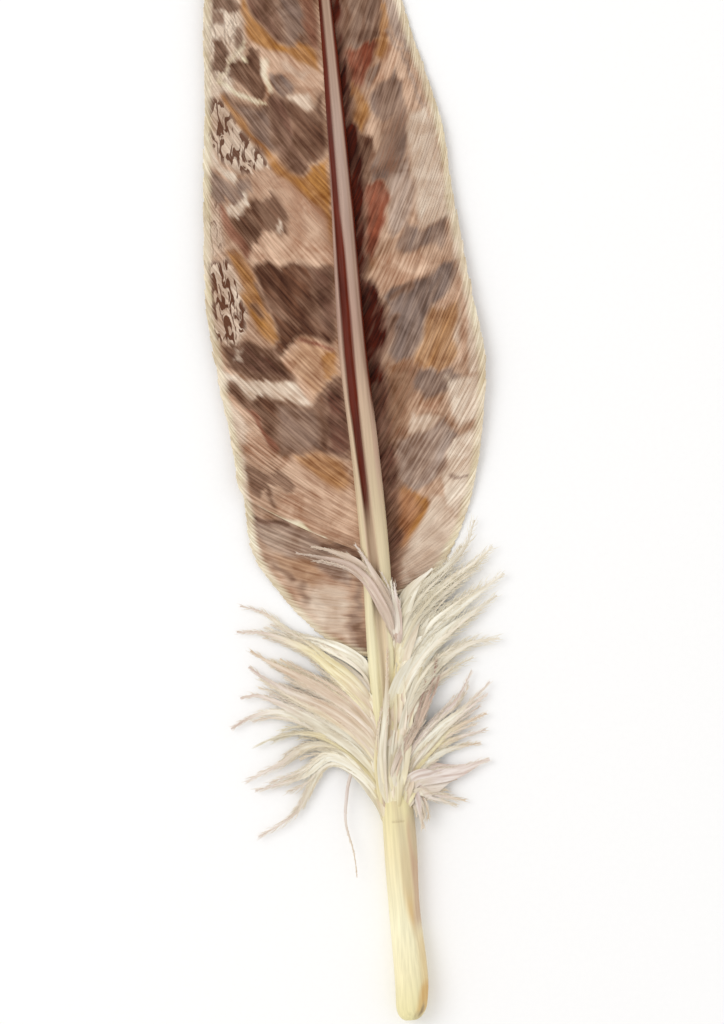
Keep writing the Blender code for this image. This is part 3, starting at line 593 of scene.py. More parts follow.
# Patches with flecks or short strokes over their own colour.
HIGH_FLECKS = [(-26, 196), (-23.4, 195.4), (-20.4, 190.2), (-16.4, 184.6), (-14.6, 180.4), (-18, 179.4),
    (-21.4, 180), (-24.6, 182.6), (-27, 187)]
HIGH_STREAKS = [(-19, 179), (-14.6, 179.6), (-12.6, 178.2), (-9, 175.4), (-5, 171.6), (-3.4, 168), (-3, 160),
    (-9, 160.4), (-12, 163), (-12, 170), (-14.6, 174.8), (-18, 175.8)]
MIDDLE_FLECKS = [(-29.6, 163), (-26, 163), (-25.6, 172), (-26.6, 176), (-29, 174)]
LOW_FLECKS = [(-29.4, 161), (-24.6, 162), (-23, 158), (-22, 151), (-22.4, 147), (-24.6, 144.6), (-29, 144.4),
    (-30, 150)]
LEFT_MARKS = [
    # The hidden tip: two more bars like those below them, and a pale end.
    ("peach", 0.7, 1.5, [(-26, 224), (-1, 219), (-1, 226), (-8, 230), (-23, 234)]),
    ("umber", 0.85, 1.2, [(-24, 234), (-9, 229.5), (-1, 226), (-2, 238), (-9, 240), (-20, 241)]),
    ("deep", 0.6, 1.5, [(-14, 233), (-1.5, 229), (-2, 236), (-12, 238)]),
    ("ochre", 0.7, 1.2, [(-21, 241), (-9, 240), (-2, 238), (-2.6, 242), (-12, 244), (-17, 243.5)]),
    ("cream", 0.8, 1.2, [(-17, 244.5), (-9, 243.6), (-2.6, 242.4), (-2, 251), (-12, 250)]),
    # Top bar.
    ("umber", 0.9, 1.0, [(-18.4, 222.4), (-8, 221.4), (-2, 219), (-2.2, 204), (-4.4, 205), (-9, 205.8),
        (-10.5, 206.8), (-13, 209.5), (-15.2, 212.5), (-16.6, 216.6)]),
    ("deep", 0.55, 0.6, [(-16.6, 218.5), (-12, 219), (-9.8, 216), (-9.6, 211), (-8.8, 206.2), (-10.5, 207.2),
        (-13, 209.7), (-15, 212.7), (-16.2, 215.6)]),
    ("slate", 0.75, 0.8, [(-10, 219), (-5, 218.5), (-4.8, 209), (-6.5, 206.5), (-8.6, 206), (-9.7, 211)]),
    ("rust", 0.6, 0.8, [(-5, 218), (-2.2, 217), (-2.2, 204), (-4, 204.5), (-4.8, 208)]),
    ("ochre", 0.9, 0.7, [(-17.5, 218), (-15.8, 213.5), (-13.4, 209.5), (-10.6, 206.6), (-8.6, 205.2),
        (-6, 206.4), (-4.8, 205.5), (-3, 204), (-2.4, 200), (-5, 201.5), (-8, 203.4), (-11.5, 205),
        (-14.5, 205.6), (-16.5, 208), (-18.4, 213)]),
    ("cream", 0.9, 1.2, [(-27, 196), (-22, 197), (-19, 203), (-17, 208), (-19, 217), (-22, 228), (-27, 222)]),
    ("mottle", 0.35, 1.0, [(-27, 198), (-22, 199), (-18.6, 204), (-17.4, 208), (-19, 217), (-22, 226),
        (-27, 222)]),
    ("umber", 0.6, 0.4, [(-19.4, 205), (-17.6, 205.6), (-17.4, 209.6), (-18.4, 210.4), (-19.6, 208)]),
    ("umber", 0.75, 0.4, [(-25.4, 202), (-22.6, 201.6), (-20.8, 204.6), (-21.6, 208), (-24.2, 207.4)]),
    ("umber", 0.65, 0.4, [(-24.4, 211), (-21.2, 211), (-20.8, 213), (-23.6, 213.6)]),
    ("umber", 0.7, 0.4, [(-23.4, 213.6), (-19, 213.4), (-17.8, 215), (-20, 217.4), (-23.2, 217)]),
    ("peach", 0.85, 0.8, [(-16.5, 207.2), (-13.8, 205.2), (-9, 203.2), (-5, 201.2), (-2.4, 199.6),
        (-2.4, 195.8), (-5.2, 195.4), (-8, 197.4), (-10.6, 200.2), (-12.6, 199.4), (-12.4, 196.4),
        (-13.6, 195.4), (-14.4, 199), (-14, 202.5)]),
    ("cream", 0.6, 0.6, [(-11, 203.4), (-7.4, 201.4), (-4.4, 199.8), (-6, 198.4), (-10, 200.8)]),
    ("strokes", 0.45, 0.8, [(-12, 203), (-3, 200), (-2.4, 195), (-6, 195), (-11, 199)]),
    ("umber", 0.8, 0.35, [(-20.5, 203), (-18, 203.5), (-16, 205.3), (-14.6, 205), (-14, 202), (-14.3, 198),
        (-14.2, 195.4), (-16, 195.4), (-19, 198.4), (-21.4, 200.6)]),
    # Painted highlights: thin white lines and a small white spot.
    ("fringe", 0.75, 0.3, [(-24.4, 199.6), (-21, 197.4), (-17.4, 195.4), (-14.6, 194.2)], 0.9),
    ("fringe", 0.55, 0.3, [(-23.6, 200.4), (-20.6, 203.2), (-17.2, 206.6)], 0.8),
    ("fringe", 0.8, 0.3, [(-18.4, 203.8), (-17.6, 203.2)], 0.8),
    ("fringe", 0.6, 0.4, [(-13.4, 203), (-13.6, 199.6), (-13, 196.4)], 1.3),
    ("slate", 0.8, 0.5, [(-12.4, 199.6), (-10.4, 199.6), (-8.4, 197), (-8.2, 195.4), (-9.8, 194.6),
        (-11.4, 195.6), (-12.4, 197.6)]),
    ("cream", 0.8, 0.5, [(-9, 195.2), (-5.6, 195.6), (-4, 192.6), (-5.6, 191), (-7.6, 192.4), (-9.2, 194.2)]),
    # First full bar.
    ("umber", 0.8, 0.8, [(-23.5, 197.6), (-21.8, 196.6), (-19.4, 194.6), (-16.6, 193.6), (-13.8, 193.4),
        (-13, 195.6), (-11.6, 195.4), (-9.6, 194.4), (-8, 193.2), (-6.2, 191), (-4.4, 192), (-3.2, 195.2),
        (-2.2, 195), (-2, 190), (-2, 183), (-3.4, 181.2), (-5.6, 180.4), (-7.6, 179), (-9.6, 178.8),
        (-11.2, 179.8), (-11.8, 182), (-13, 184.4), (-15, 184.6), (-16.6, 186.8), (-18.6, 190),
        (-20.8, 193.2)]),
    ("deep", 0.6, 0.7, [(-13.6, 195), (-10, 194.6), (-9, 190), (-9, 185), (-7, 181), (-9.6, 179),
        (-11.6, 181.6), (-13.4, 186)]),
    ("slate", 0.75, 0.8, [(-21, 194.5), (-17, 193), (-13.8, 193), (-13.6, 186), (-12.4, 184.6), (-15, 184.6),
        (-18, 189)]),
    ("ochre", 0.95, 0.8, [(-13.6, 183.6), (-11.9, 181.6), (-10.6, 179.2), (-8.4, 178.2), (-5.6, 179.6),
        (-2.3, 181.4), (-2.3, 172), (-2.6, 165), (-3.6, 160), (-4.6, 166), (-6, 171), (-8, 174), (-11, 176.4),
        (-13.4, 178.4), (-14.8, 181.6)]),
    ("ochre", 0.8, 0.4, [(-23.4, 197.4), (-22, 195.4), (-18.6, 189.4), (-15.4, 184.6), (-13.8, 183.4),
        (-14.8, 182.2), (-17, 184.6), (-20, 189.4), (-23, 194)]),
    ("cream", 0.6, 0.8, HIGH_FLECKS),
    ("mottle", 0.95, 0.8, HIGH_FLECKS),
    ("cream", 0.9, 0.4, [(-27.6, 184), (-26.2, 180.8), (-23.4, 178.6), (-21.8, 177.4), (-21.6, 179),
        (-23.6, 180.2), (-25.4, 182.6), (-26.4, 186)]),
    ("slate", 0.7, 0.5, [(-27.4, 181.2), (-24.6, 178.4), (-22.2, 177.2), (-20.6, 178.8), (-19, 178.6),
        (-18.6, 175.8), (-20.8, 175.2), (-21.2, 172.8), (-22.6, 173), (-24, 175), (-25, 172.6),
        (-26.4, 173.6), (-27.6, 176.6)]),
    ("peach", 0.95, 0.9, HIGH_STREAKS),
    ("strokes", 0.5, 0.9, HIGH_STREAKS),
    ("cream", 0.9, 0.4, [(-24, 172.8), (-22.6, 173), (-21.2, 174), (-20.6, 176.2), (-19.4, 175),
        (-19.6, 172.8), (-21.6, 170.6), (-23.6, 170.6)]),
    ("umber", 0.8, 0.7, [(-22.6, 170.4), (-19.6, 172.2), (-17, 174.2), (-14.4, 175.2), (-12.6, 173.2),
        (-11.8, 170.6), (-12.2, 167), (-13.2, 165.6), (-14.4, 166.6), (-16.4, 167.2), (-18, 165.6),
        (-19.6, 164), (-21, 162.6), (-23.2, 166.6), (-25.4, 171)]),
    ("rust", 0.7, 0.5, [(-25.6, 172), (-23.4, 167.6), (-20.8, 163)], 2.0),
    # A small painted highlight.
    ("cream", 0.8, 0.35, [(-14.2, 166.4), (-13.2, 166), (-13, 169), (-13.8, 169.6)]),
    ("cream", 0.55, 0.9, MIDDLE_FLECKS),
    ("mottle", 0.6, 0.9, MIDDLE_FLECKS),
    ("peach", 0.85, 0.7, [(-20, 161.4), (-19.6, 164.4), (-16.4, 167), (-12.6, 165.4), (-10, 165), (-4, 163),
        (-2.8, 160.4), (-3, 159.4), (-6, 158.8), (-9, 160), (-14, 159.6), (-17, 160.2), (-19.8, 160.2)]),
    # Second bar.
    ("umber", 0.95, 0.8, [(-20, 160), (-16.4, 160.2), (-14.4, 159.4), (-10.4, 160), (-7.4, 158.8),
        (-4.8, 158.8), (-3.2, 158.8), (-3.6, 150), (-3.8, 143.6), (-4.6, 142.2), (-6.4, 143.4), (-10, 144.8),
        (-12.2, 143.8), (-13.4, 143.4), (-14.8, 141.6), (-16, 140.4), (-17.4, 141.8), (-17.2, 144),
        (-16, 145.6), (-17, 150), (-18.6, 156)]),
    ("deep", 0.7, 1.2, [(-7.6, 158), (-3.2, 158), (-3.4, 150), (-4, 144.6), (-6.6, 146), (-7.4, 152)]),
    ("ochre", 0.8, 0.7, [(-24.8, 163.8), (-22.6, 163), (-20.6, 160.4), (-19.4, 156.6), (-17.6, 151.6),
        (-16.4, 147), (-15.2, 144.6), (-17.4, 143), (-19.6, 146), (-21.6, 149.8), (-22.4, 155),
        (-23.4, 159)]),
    ("deep", 0.5, 0.4, [(-19.4, 156), (-18.4, 153), (-17.4, 150.6)], 1.0),
    ("deep", 0.5, 0.5, [(-20.4, 151.6), (-19.2, 149.6)], 1.2),
    ("cream", 0.6, 0.8, LOW_FLECKS),
    ("mottle", 1.0, 0.8, LOW_FLECKS),
    ("umber", 0.8, 0.6, [(-28, 143.6), (-26, 145), (-23, 144.4), (-20.6, 144.2), (-18.4, 142.6),
        (-15.4, 139.8), (-13.8, 137.6), (-12.4, 134.4), (-14.6, 135.8), (-19.4, 136.2), (-21.6, 136.2),
        (-24, 137.6), (-26.4, 139.6)]),
    ("deep", 0.75, 0.9, [(-27, 143), (-23, 143.6), (-18.4, 141), (-14.4, 137.6), (-15, 136.4), (-21, 138),
        (-25.6, 140)]),
    ("cream", 0.7, 0.5, [(-25.6, 140.6), (-24.2, 140.4), (-24, 143.2), (-25.4, 143.4)]),
    ("peach", 0.9, 0.6, [(-14.8, 141.4), (-13.2, 143.4), (-10.4, 144.2), (-6.4, 143), (-4.6, 142),
        (-4, 138.6), (-4.8, 135.8), (-7, 134.6), (-9, 131.4), (-10, 130.6), (-11.8, 132.6), (-13.6, 136.6),
        (-15.2, 139.6)]),
    ("ochre", 0.35, 1.5, [(-14, 141), (-10.4, 144), (-5, 142), (-5, 135), (-9, 131.6), (-13, 137)]),
    ("rust", 0.7, 0.35, [(-11, 143.6), (-6.6, 142.2), (-4.6, 141.4)], 0.9),
    ("ochre", 0.75, 0.6, [(-6.4, 140.8), (-4.2, 141), (-3.9, 136), (-5.6, 134.8), (-7.2, 135.6),
        (-7, 138.6)]),
    ("cream", 0.9, 0.5, [(-29.6, 140), (-27.4, 138.8), (-24.6, 136.8), (-21.6, 136), (-16, 135.8),
        (-14, 135.4), (-12, 132.6), (-9.8, 130.4), (-12.8, 130.8), (-16.4, 132.2), (-20, 132.6),
        (-22.6, 132.8), (-24.8, 134.6), (-27.4, 136.8), (-29.4, 137.6)]),
    # Third bar.
    ("umber", 0.85, 0.7, [(-28.8, 137.2), (-26.8, 136.6), (-24.4, 134.2), (-22.8, 132.6), (-20, 132.6),
        (-16.4, 132), (-12.6, 130.6), (-9.6, 130.2), (-8.4, 132.4), (-6.6, 133.8), (-4.8, 135.2),
        (-3.2, 135.6), (-2.8, 130), (-2.6, 122), (-2.9, 118.2), (-4.4, 117.6), (-6.8, 119.2), (-10, 120.2),
        (-14.6, 119.8), (-17.6, 119.6), (-18.8, 121.6), (-20, 124.4), (-21.6, 128), (-24, 130.6),
        (-26.4, 133.4), (-28.8, 134.6)]),
    ("slate", 0.6, 1.4, [(-17.6, 131), (-12, 130), (-9.4, 129.4), (-8.8, 124), (-9.4, 120.8), (-14.6, 120.6),
        (-17.6, 120.6), (-18, 125)]),
    ("deep", 0.8, 0.9, [(-7.4, 132), (-3.2, 134.6), (-2.8, 120), (-5, 118.6), (-7.4, 120)]),
    ("rust", 0.75, 0.4, [(-23.4, 130.4), (-22, 128.6), (-20.4, 125.6), (-18.6, 121)], 1.2),
    ("peach", 0.8, 0.8, [(-28.6, 133.6), (-26.4, 133), (-24.2, 130.4), (-22.2, 127.6), (-20.4, 123.6),
        (-18.8, 120.8), (-20.6, 118.4), (-24, 119.6), (-27, 124), (-28.4, 129)]),
    ("cream", 0.7, 0.7, [(-28.6, 133), (-25.4, 130), (-24, 126), (-25.4, 121), (-28, 122)]),
    ("ochre", 0.6, 1.1, [(-14.6, 119.6), (-10.4, 120), (-6.8, 118.8), (-4.6, 117.4), (-3.6, 113), (-6, 111),
        (-8, 112.4), (-11, 115.6), (-14, 118)]),
    ("peach", 0.6, 0.8, [(-20, 119.6), (-14.8, 119.4), (-11, 115.4), (-7.6, 111.8), (-3.2, 109), (-2.8, 99.4),
        (-4.2, 100.8), (-7, 101.6), (-10.8, 102.6), (-14.4, 105), (-17.6, 107), (-20, 109), (-18, 112),
        (-16, 115), (-18.6, 117.6)]),
    ("umber", 0.7, 0.5, [(-25, 119), (-23, 118.2), (-20.4, 116.6), (-18.4, 117.4), (-16.4, 115.6),
        (-15.4, 113.2), (-17, 112.4), (-18.6, 114), (-20.4, 113.4), (-19.4, 109.2), (-20.2, 109.4),
        (-21.4, 113), (-22.6, 112), (-24, 113.6), (-25.2, 116)]),
    ("cream", 0.85, 0.6, [(-28, 122), (-25.2, 121), (-25, 116), (-24.6, 111), (-27, 111)]),
    # Painted highlight: a pale line along the web's lower edge, where it lies over the lobe.
    ("fringe", 0.95, 0.35, [(-26.4, 112.2), (-24.6, 110.4), (-22, 108.2), (-18, 106.4), (-14.6, 104.8),
        (-12, 102.8), (-10.6, 101.8)], 1.0),
    ("slate", 0.6, 0.3, [(-27, 112.6), (-25.8, 111.6), (-24.8, 109.8), (-25.8, 108.8), (-27, 110)]),
]


def over_the_lobe(root, v):
    """The lowest barbs ride up over the top edge of the lobe below them."""
    return 0.9 * (1 - smooth_step(99.5, 107, root)) * smooth_step(0.1, 0.4, v)


make_web("left_web", LEFT_GUIDES, -1, 2.6, LEFT_MARKS, 11, lift=over_the_lobe)

# ---------------------------------------------------------------------------------------------------
# Left web, lower part. The same growth below a split in the web: a short lobe of softer barbs that
# start almost square to the shaft and sweep up. It lies under the web's upper part.
# ---------------------------------------------------------------------------------------------------
LOBE_GUIDES = [(77, -6.8, 77.9), (80, -11.4, 81), (83.6, -15.8, 85.6), (87.4, -20.4, 91.6), (91, -24.2, 98),
    (94.4, -25.6, 104.2), (97.4, -25.9, 110.4), (100.4, -26.2, 114.2)]
LOBE_MARKS = [
    ("peach", 0.8, 1.5, [(-25, 98), (-18, 90), (-8, 80), (-3, 77), (-3, 92), (-12, 99), (-25, 104)]),
    ("cream", 0.95, 1.8, [(-16.5, 89), (-12, 83), (-6, 79), (-5.6, 91), (-11, 93)]),
    ("cream", 0.5, 1.2, [(-22, 98), (-18, 99), (-11, 95), (-12, 91), (-18, 92)]),
    ("umber", 0.3, 1.5, [(-25.4, 104), (-23.6, 96), (-21, 95), (-21, 104)]),
    # Painted shadow under the upper web's edge, which lies over the top of the lobe: a slate band, a dark
    # line and an umber line along it.
    ("slate", 0.65, 0.8, [(-24.8, 108.6), (-21.8, 107), (-18.2, 106.4), (-15, 104.8), (-12.2, 102.8),
        (-9.8, 100.8), (-7, 101.4), (-4.6, 100.6), (-3, 98.2), (-2.8, 95.6), (-4.6, 97), (-7.6, 98.6),
        (-10.6, 98.2), (-14, 98.6), (-18, 99.6), (-21.6, 100.8), (-23.6, 103), (-24.8, 106)]),
    ("deep", 0.7, 0.4, [(-24.6, 108.4), (-21, 106.4), (-17.6, 105.4)], 1.0),
    ("umber", 0.8, 0.5, [(-10, 100.6), (-5, 99.4), (-2.8, 96)], 1.6),
    ("cream", 0.35, 1.0, [(-24, 106), (-14.6, 102), (-6, 97), (-4, 93.4), (-12, 96.2), (-21, 99)]),
    ("lilac", 0.6, 0.8, [(-19, 100.6), (-14.6, 101), (-10.6, 99), (-6, 96), (-4, 93.4), (-5.4, 91.6),
        (-8, 93), (-12, 96.2), (-15.4, 98), (-18.4, 98.6)]),
    ("ochre", 0.4, 0.8, [(-20, 99), (-18, 98.6), (-15, 97.4), (-11.6, 96), (-10.6, 93.6), (-13.6, 92.8),
        (-16.6, 94), (-19.4, 95.6)]),
    ("umber", 0.6, 0.5, [(-20.6, 96.6), (-17.4, 94.4)], 1.2),
    ("umber", 0.4, 0.7, [(-15.8, 93), (-15, 88.6)], 1.6),
    ("strokes", 0.3, 1.5, [(-20, 96), (-12, 86), (-6, 80), (-3, 80), (-3, 90), (-10, 94)]),
    ("slate", 0.6, 1.0, [(-6.4, 76.8), (-3, 76.8), (-3, 93), (-4.4, 91), (-6, 84)]),
    ("umber", 0.7, 0.6, [(-5.6, 77), (-3, 77), (-3, 84), (-4.8, 83)]),
]


def under_the_web(root, v):
    """The highest barbs of the lobe lie a little lower, under the web's upper part."""
    return -0.4 * smooth_step(93, 98, root) * smooth_step(0.0, 0.2, v)


make_web("left_lower_web", LOBE_GUIDES, -1, 1.4, LOBE_MARKS, 23, bow=0.2, lift=under_the_web)

# ---------------------------------------------------------------------------------------------------
# Right web. The narrower, stiffer web on the other side of the shaft, of the same hooked barbs, in
# one piece from the tuft of down at its foot to the feather's tip.
# ---------------------------------------------------------------------------------------------------
RIGHT_GUIDES = [(89, 8.6, 90.4), (90.5, 13.2, 93.2), (92, 18, 100.4), (94.5, 22, 110), (98, 25, 122.6),
    (104, 26.8, 137), (113, 25.6, 150.6), (127, 23.6, 166), (141, 22.6, 181), (156, 20.6, 194),
    (171, 17.6, 206), (187, 15.2, 217.6), (203, 12.6, 228.6), (217, 9.2, 237.8), (230, 4.8, 245.6),
    (241, 0.6, 249.4), (247.4, -1.7, 250.2)]
GREY_STREAKS = [(8.2, 182), (11.6, 187.4), (14.6, 190.6), (15.2, 186), (14.4, 182), (12.6, 178), (10.4, 175),
    (8.6, 175.6), (6, 175.6), (6.4, 178.6)]
PALE_STREAKS = [(15.4, 190), (19.4, 190), (20.6, 184), (21.8, 176), (22.4, 168), (20.8, 165.6), (16, 165.6),
    (15.2, 172), (15.2, 182)]
RIGHT_MARKS = [
    # The hidden tip: two more bars, and a pale end.
    ("umber", 0.8, 1.2, [(1, 226), (11, 222), (14, 221), (12, 230), (2, 236), (0, 236)]),
    ("deep", 0.5, 1.2, [(1, 228), (7, 226), (6, 231), (0, 235)]),
    ("ochre", 0.7, 1.0, [(0, 236), (2, 236), (12, 230), (10, 235), (0, 240)]),
    ("cream", 0.8, 1.0, [(0, 240.6), (9, 236), (4, 247), (-3, 251)]),
    # A brown darkening beside the shaft, under the other marks: partly the barbs' own darker bases, partly
    # painted shadow cast by the shaft.
    ("umber", 0.55, 2.6, [(0, 226), (6, 222), (5.5, 205), (6.5, 190), (8, 180), (7, 168), (6, 158), (9, 150),
        (8, 140), (6.5, 134), (8.5, 122), (9, 112), (8, 100), (7, 92), (0, 88)]),
    ("slate", 0.85, 0.9, [(2, 224), (8, 220), (13, 218), (12.4, 212), (11.6, 207.4), (10.4, 205.2),
        (8.6, 204), (5.4, 203.2), (3.0, 204.4)]),
    ("umber", 0.4, 1.2, [(2, 224), (12, 218), (11.6, 207.4), (8.6, 204), (3, 204.4)]),
    ("umber", 0.8, 0.8, [(2, 222), (5, 218), (5, 210), (4.4, 206), (2.6, 205)]),
    ("umber", 0.6, 0.4, [(11.6, 213), (10.8, 209), (9.4, 205.6)], 1.2),
    ("umber", 0.45, 0.4, [(8.4, 215), (7.8, 210), (6.6, 205.4)], 0.9),
    ("ochre", 0.8, 0.5, [(11.6, 214), (12.8, 212), (12.8, 206), (12.4, 202), (11, 201), (9, 202.4),
        (8.8, 204.6), (10.8, 206)]),
    ("lilac", 0.8, 0.5, [(12.4, 216), (14.4, 214), (15.9, 211), (16, 207), (17, 203), (17.6, 199),
        (16.4, 201.6), (14.6, 204.6), (12.8, 208)]),
    ("rust", 0.9, 0.7, [(2.6, 203.4), (5.4, 203.4), (9.4, 205), (10.2, 204), (8.8, 201), (7.2, 198),
        (6, 195.4), (4.4, 194), (2.6, 196)]),
    ("ochre", 0.8, 0.7, [(2.6, 196), (5, 196.2), (6.8, 194), (7, 190), (6.4, 187), (5.4, 185.4),
        (2.6, 186.6)]),
    ("peach", 0.85, 0.7, [(12.8, 207), (13.6, 204), (15, 200.6), (16.2, 196), (15.6, 192), (15, 188),
        (14.6, 193), (14.4, 196), (13, 198.6), (11.6, 196.6), (9, 195.6), (7.2, 193), (8.6, 196.6),
        (10.6, 199.8), (12, 203)]),
    ("slate", 0.8, 0.6, [(13, 198.4), (14.4, 196), (14.6, 192), (13.6, 189), (11, 188), (8.4, 188.6),
        (7.6, 191), (8.2, 194), (10, 195.6), (12, 196.4)]),
    ("slate", 0.7, 0.5, [(10.2, 200.4), (9.4, 197.6), (7.4, 195.2), (6.8, 197), (8.2, 199.4)]),
    ("peach", 0.7, 0.6, [(8.8, 188.4), (10.6, 188.2), (11.6, 187), (10.4, 184.6), (8.6, 182.6), (7, 184.4),
        (6.4, 187)]),
    ("umber", 1.0, 0.5, [(2.8, 187), (6.4, 185.4), (7, 183.6), (8, 181.4), (7, 179), (5.6, 177), (3, 177.6)]),
    ("deep", 0.5, 0.6, [(3, 186), (5, 184), (6, 181), (5, 178), (3, 178)]),
    ("slate", 0.85, 0.7, GREY_STREAKS),
    ("umber", 0.35, 1.2, [(8, 178), (9, 196), (13.4, 196), (14.6, 188), (12, 177)]),
    ("strokes", 0.5, 0.7, GREY_STREAKS),
    ("rust", 0.9, 0.6, [(4, 175), (7.4, 176), (9.8, 175), (10.2, 172.6), (9.2, 169.4), (7.8, 165.6),
        (6.6, 162), (5.2, 159), (2.6, 159), (2.6, 171)]),
    ("ochre", 0.6, 0.8, [(3, 160), (6.6, 160), (6, 152), (3, 152)]),
    ("lilac", 0.75, 0.7, [(10.2, 175.6), (13, 179.6), (14.8, 181), (15, 176), (15, 170), (12.6, 166),
        (10, 164), (9, 166.4), (10, 170.4)]),
    ("cream", 0.85, 0.8, PALE_STREAKS),
    ("strokes", 0.4, 0.8, PALE_STREAKS),
    ("lilac", 0.7, 0.35, [(12.5, 207), (14.8, 202), (17, 196), (19.2, 190.6)], 0.7),
    ("slate", 0.75, 0.7, [(12.6, 166.4), (16, 165.2), (19.4, 165.4), (21.2, 167), (21.4, 163.6), (20, 160.6),
        (18.6, 161.6), (15.6, 161), (13, 159.6), (10.4, 161)]),
    ("peach", 0.8, 0.7, [(10, 159.6), (14.6, 160), (17, 158), (18, 156.4), (16, 155.4), (12.6, 153.8),
        (9.6, 153.4), (7, 151.8), (5.6, 151.2), (4.4, 153), (4.2, 157), (6, 160)]),
    ("cream", 0.75, 0.6, [(22.4, 168), (23.6, 163), (24.6, 157), (25.4, 152), (27, 146), (24.6, 148),
        (23.2, 156), (22, 162)]),
    # Second bar.
    ("slate", 0.9, 0.7, [(6.6, 152), (9.4, 153.4), (12.6, 153.2), (16, 155.2), (19.6, 157), (22.4, 158),
        (22.8, 155.4), (20.4, 151), (17, 148.6), (15.6, 145), (14, 141.6), (12, 138.8), (10.4, 138),
        (7, 138.6), (5.4, 141), (6.4, 145), (7.6, 149)]),
    ("umber", 0.6, 0.5, [(5.4, 139.4), (7.4, 143), (9, 147)], 1.4),
    ("umber", 0.55, 0.5, [(9, 151), (11, 152), (13, 153)], 1.4),
    ("cream", 0.7, 0.7, [(14, 142), (16.4, 148.6), (22.4, 151), (22, 137), (15, 135), (12.2, 138)]),
    ("ochre", 0.65, 0.7, [(15.4, 146.6), (16.4, 148.6), (19.4, 148.4), (20.8, 150.4), (22.4, 151), (22, 147),
        (21, 142), (21, 137), (19, 135.2), (15, 135), (12.4, 136.4), (12.2, 138.6), (14.2, 141.8)]),
    ("peach", 0.8, 0.7, [(17, 148.4), (20.6, 151.6), (23.4, 154.4), (23, 150), (22.4, 142), (21, 137),
        (22.8, 136.6), (23.6, 142), (24, 149)]),
    ("cream", 0.8, 0.7, [(23.2, 152), (26.4, 150), (27, 140), (26.8, 134), (23.4, 134), (23.6, 142)]),
    ("ochre", 0.35, 1.5, [(4.6, 136), (10, 138), (12, 134), (9, 124), (5, 123)]),
    ("strokes", 0.8, 0.8, [(4.4, 136), (8.6, 139), (11.6, 137.4), (13, 135), (11, 130.6), (9.6, 126),
        (8, 121.6), (5.6, 121), (4, 124), (3.8, 130)]),
    ("umber", 0.35, 0.8, [(5, 134), (10, 137), (12.6, 135), (11, 130), (8, 124), (5, 124)]),
    ("slate", 0.75, 0.6, [(11, 133), (13, 135), (16, 134.8), (19.6, 134.4), (21.6, 134.2), (21, 132),
        (18, 130.6), (15.6, 129.4), (13, 129.4)]),
    ("peach", 0.75, 0.5, [(13, 128.6), (16.6, 128.2), (16.4, 126), (13.4, 126.2)]),
    ("cream", 0.6, 0.6, [(10, 125.4), (15.4, 125.6), (17, 124.8), (13, 122.4), (10.6, 120), (9.6, 122.6)]),
    ("cream", 0.9, 1.0, [(18, 133), (26, 133), (26, 124), (20, 123)]),
    # Third bar.
    ("lilac", 0.85, 0.7, [(8, 121), (12.6, 122.6), (17.4, 124.6), (20, 121), (17.4, 116.6), (15.6, 113),
        (12.8, 111), (10.4, 110.4), (7.6, 111.6), (6, 114), (6.4, 118)]),
    ("slate", 0.45, 0.9, [(7, 120), (12, 121.6), (15, 119), (13, 113), (9, 112), (6.6, 114)]),
    ("cream", 0.95, 0.6, [(18.4, 120.6), (24.6, 121), (23.6, 112), (21.6, 107), (19.6, 104.6), (17.6, 104.8),
        (16, 108), (15.4, 113.4), (17.4, 116)]),
    ("lilac", 0.8, 0.3, [(17, 112.8), (19.6, 112), (22.8, 112.8)], 0.5),
    ("ochre", 0.95, 0.7, [(4.4, 110.4), (8.4, 111.2), (10.6, 109.4), (12.2, 107.4), (11.4, 104.4), (9.6, 102),
        (7, 100), (4.6, 98.4), (4.4, 104)]),
    ("rust", 0.35, 1.2, [(4.4, 110), (9, 110.8), (10.4, 106), (7, 100.4), (4.6, 98.8)]),
    ("cream", 0.7, 0.8, [(12.4, 107.6), (15.4, 108.6), (17.2, 104.6), (19.6, 104.4), (16.6, 98.6),
        (12.4, 92.2), (8.9, 90.1), (5.4, 92), (6, 96.4), (9.4, 101.6)]),
    ("strokes", 0.35, 0.8, [(12.4, 107.6), (16.6, 98.6), (12.4, 92.2), (8.9, 90.1), (5.4, 92), (6, 96.4)]),
    # The dark band beside the shaft: the barbs' dark bases and painted shadow cast by the shaft.
    ("deep", 0.9, 0.9, [(0, 226), (2.9, 222), (3.5, 214), (3.3, 205), (3.6, 196), (4.3, 187), (0, 187)]),
    ("deep", 1.0, 1.1, [(0, 188), (4.3, 188), (4.8, 180), (4.7, 170), (4.1, 160), (4.1, 156), (0, 156)]),
    ("deep", 1.0, 1.1, [(0, 158), (5.0, 155), (6.2, 151), (7.6, 147), (6.0, 140), (5.0, 134), (0, 134)]),
    ("deep", 0.8, 1.1, [(0, 138), (6.4, 136), (6.0, 126), (6.4, 118), (6.2, 112), (0, 112)]),
    ("deep", 0.7, 1.0, [(0, 114), (6.4, 114), (6.2, 105), (5.6, 98), (5.2, 92), (3.4, 88), (0, 88)]),
]
make_web("right_web", RIGHT_GUIDES, 1, 3.2, RIGHT_MARKS, 37)

# ---------------------------------------------------------------------------------------------------
# Down, upper left tuft. Soft barbs that grew from the same shaft below the web, with loose barbules
# that don't hook together: flat ribbons of down near their roots and brushes of fine hairs at their tips.
# ---------------------------------------------------------------------------------------------------
STRAND_STATIONS = 30
BED_REACH, FILL_REACH, BED_WIDTH, FILL_WIDTHS = (0.5, 0.7), (0.55, 0.93), 1.7, (0.2, 0.62)
ROOT_SINK, ROOT_SINK_SHARE, ARCH_HEIGHT, LOWEST_STRAND, HIGHEST_STRAND = 1.1, 0.24, 0.35, 0.3, 8.4
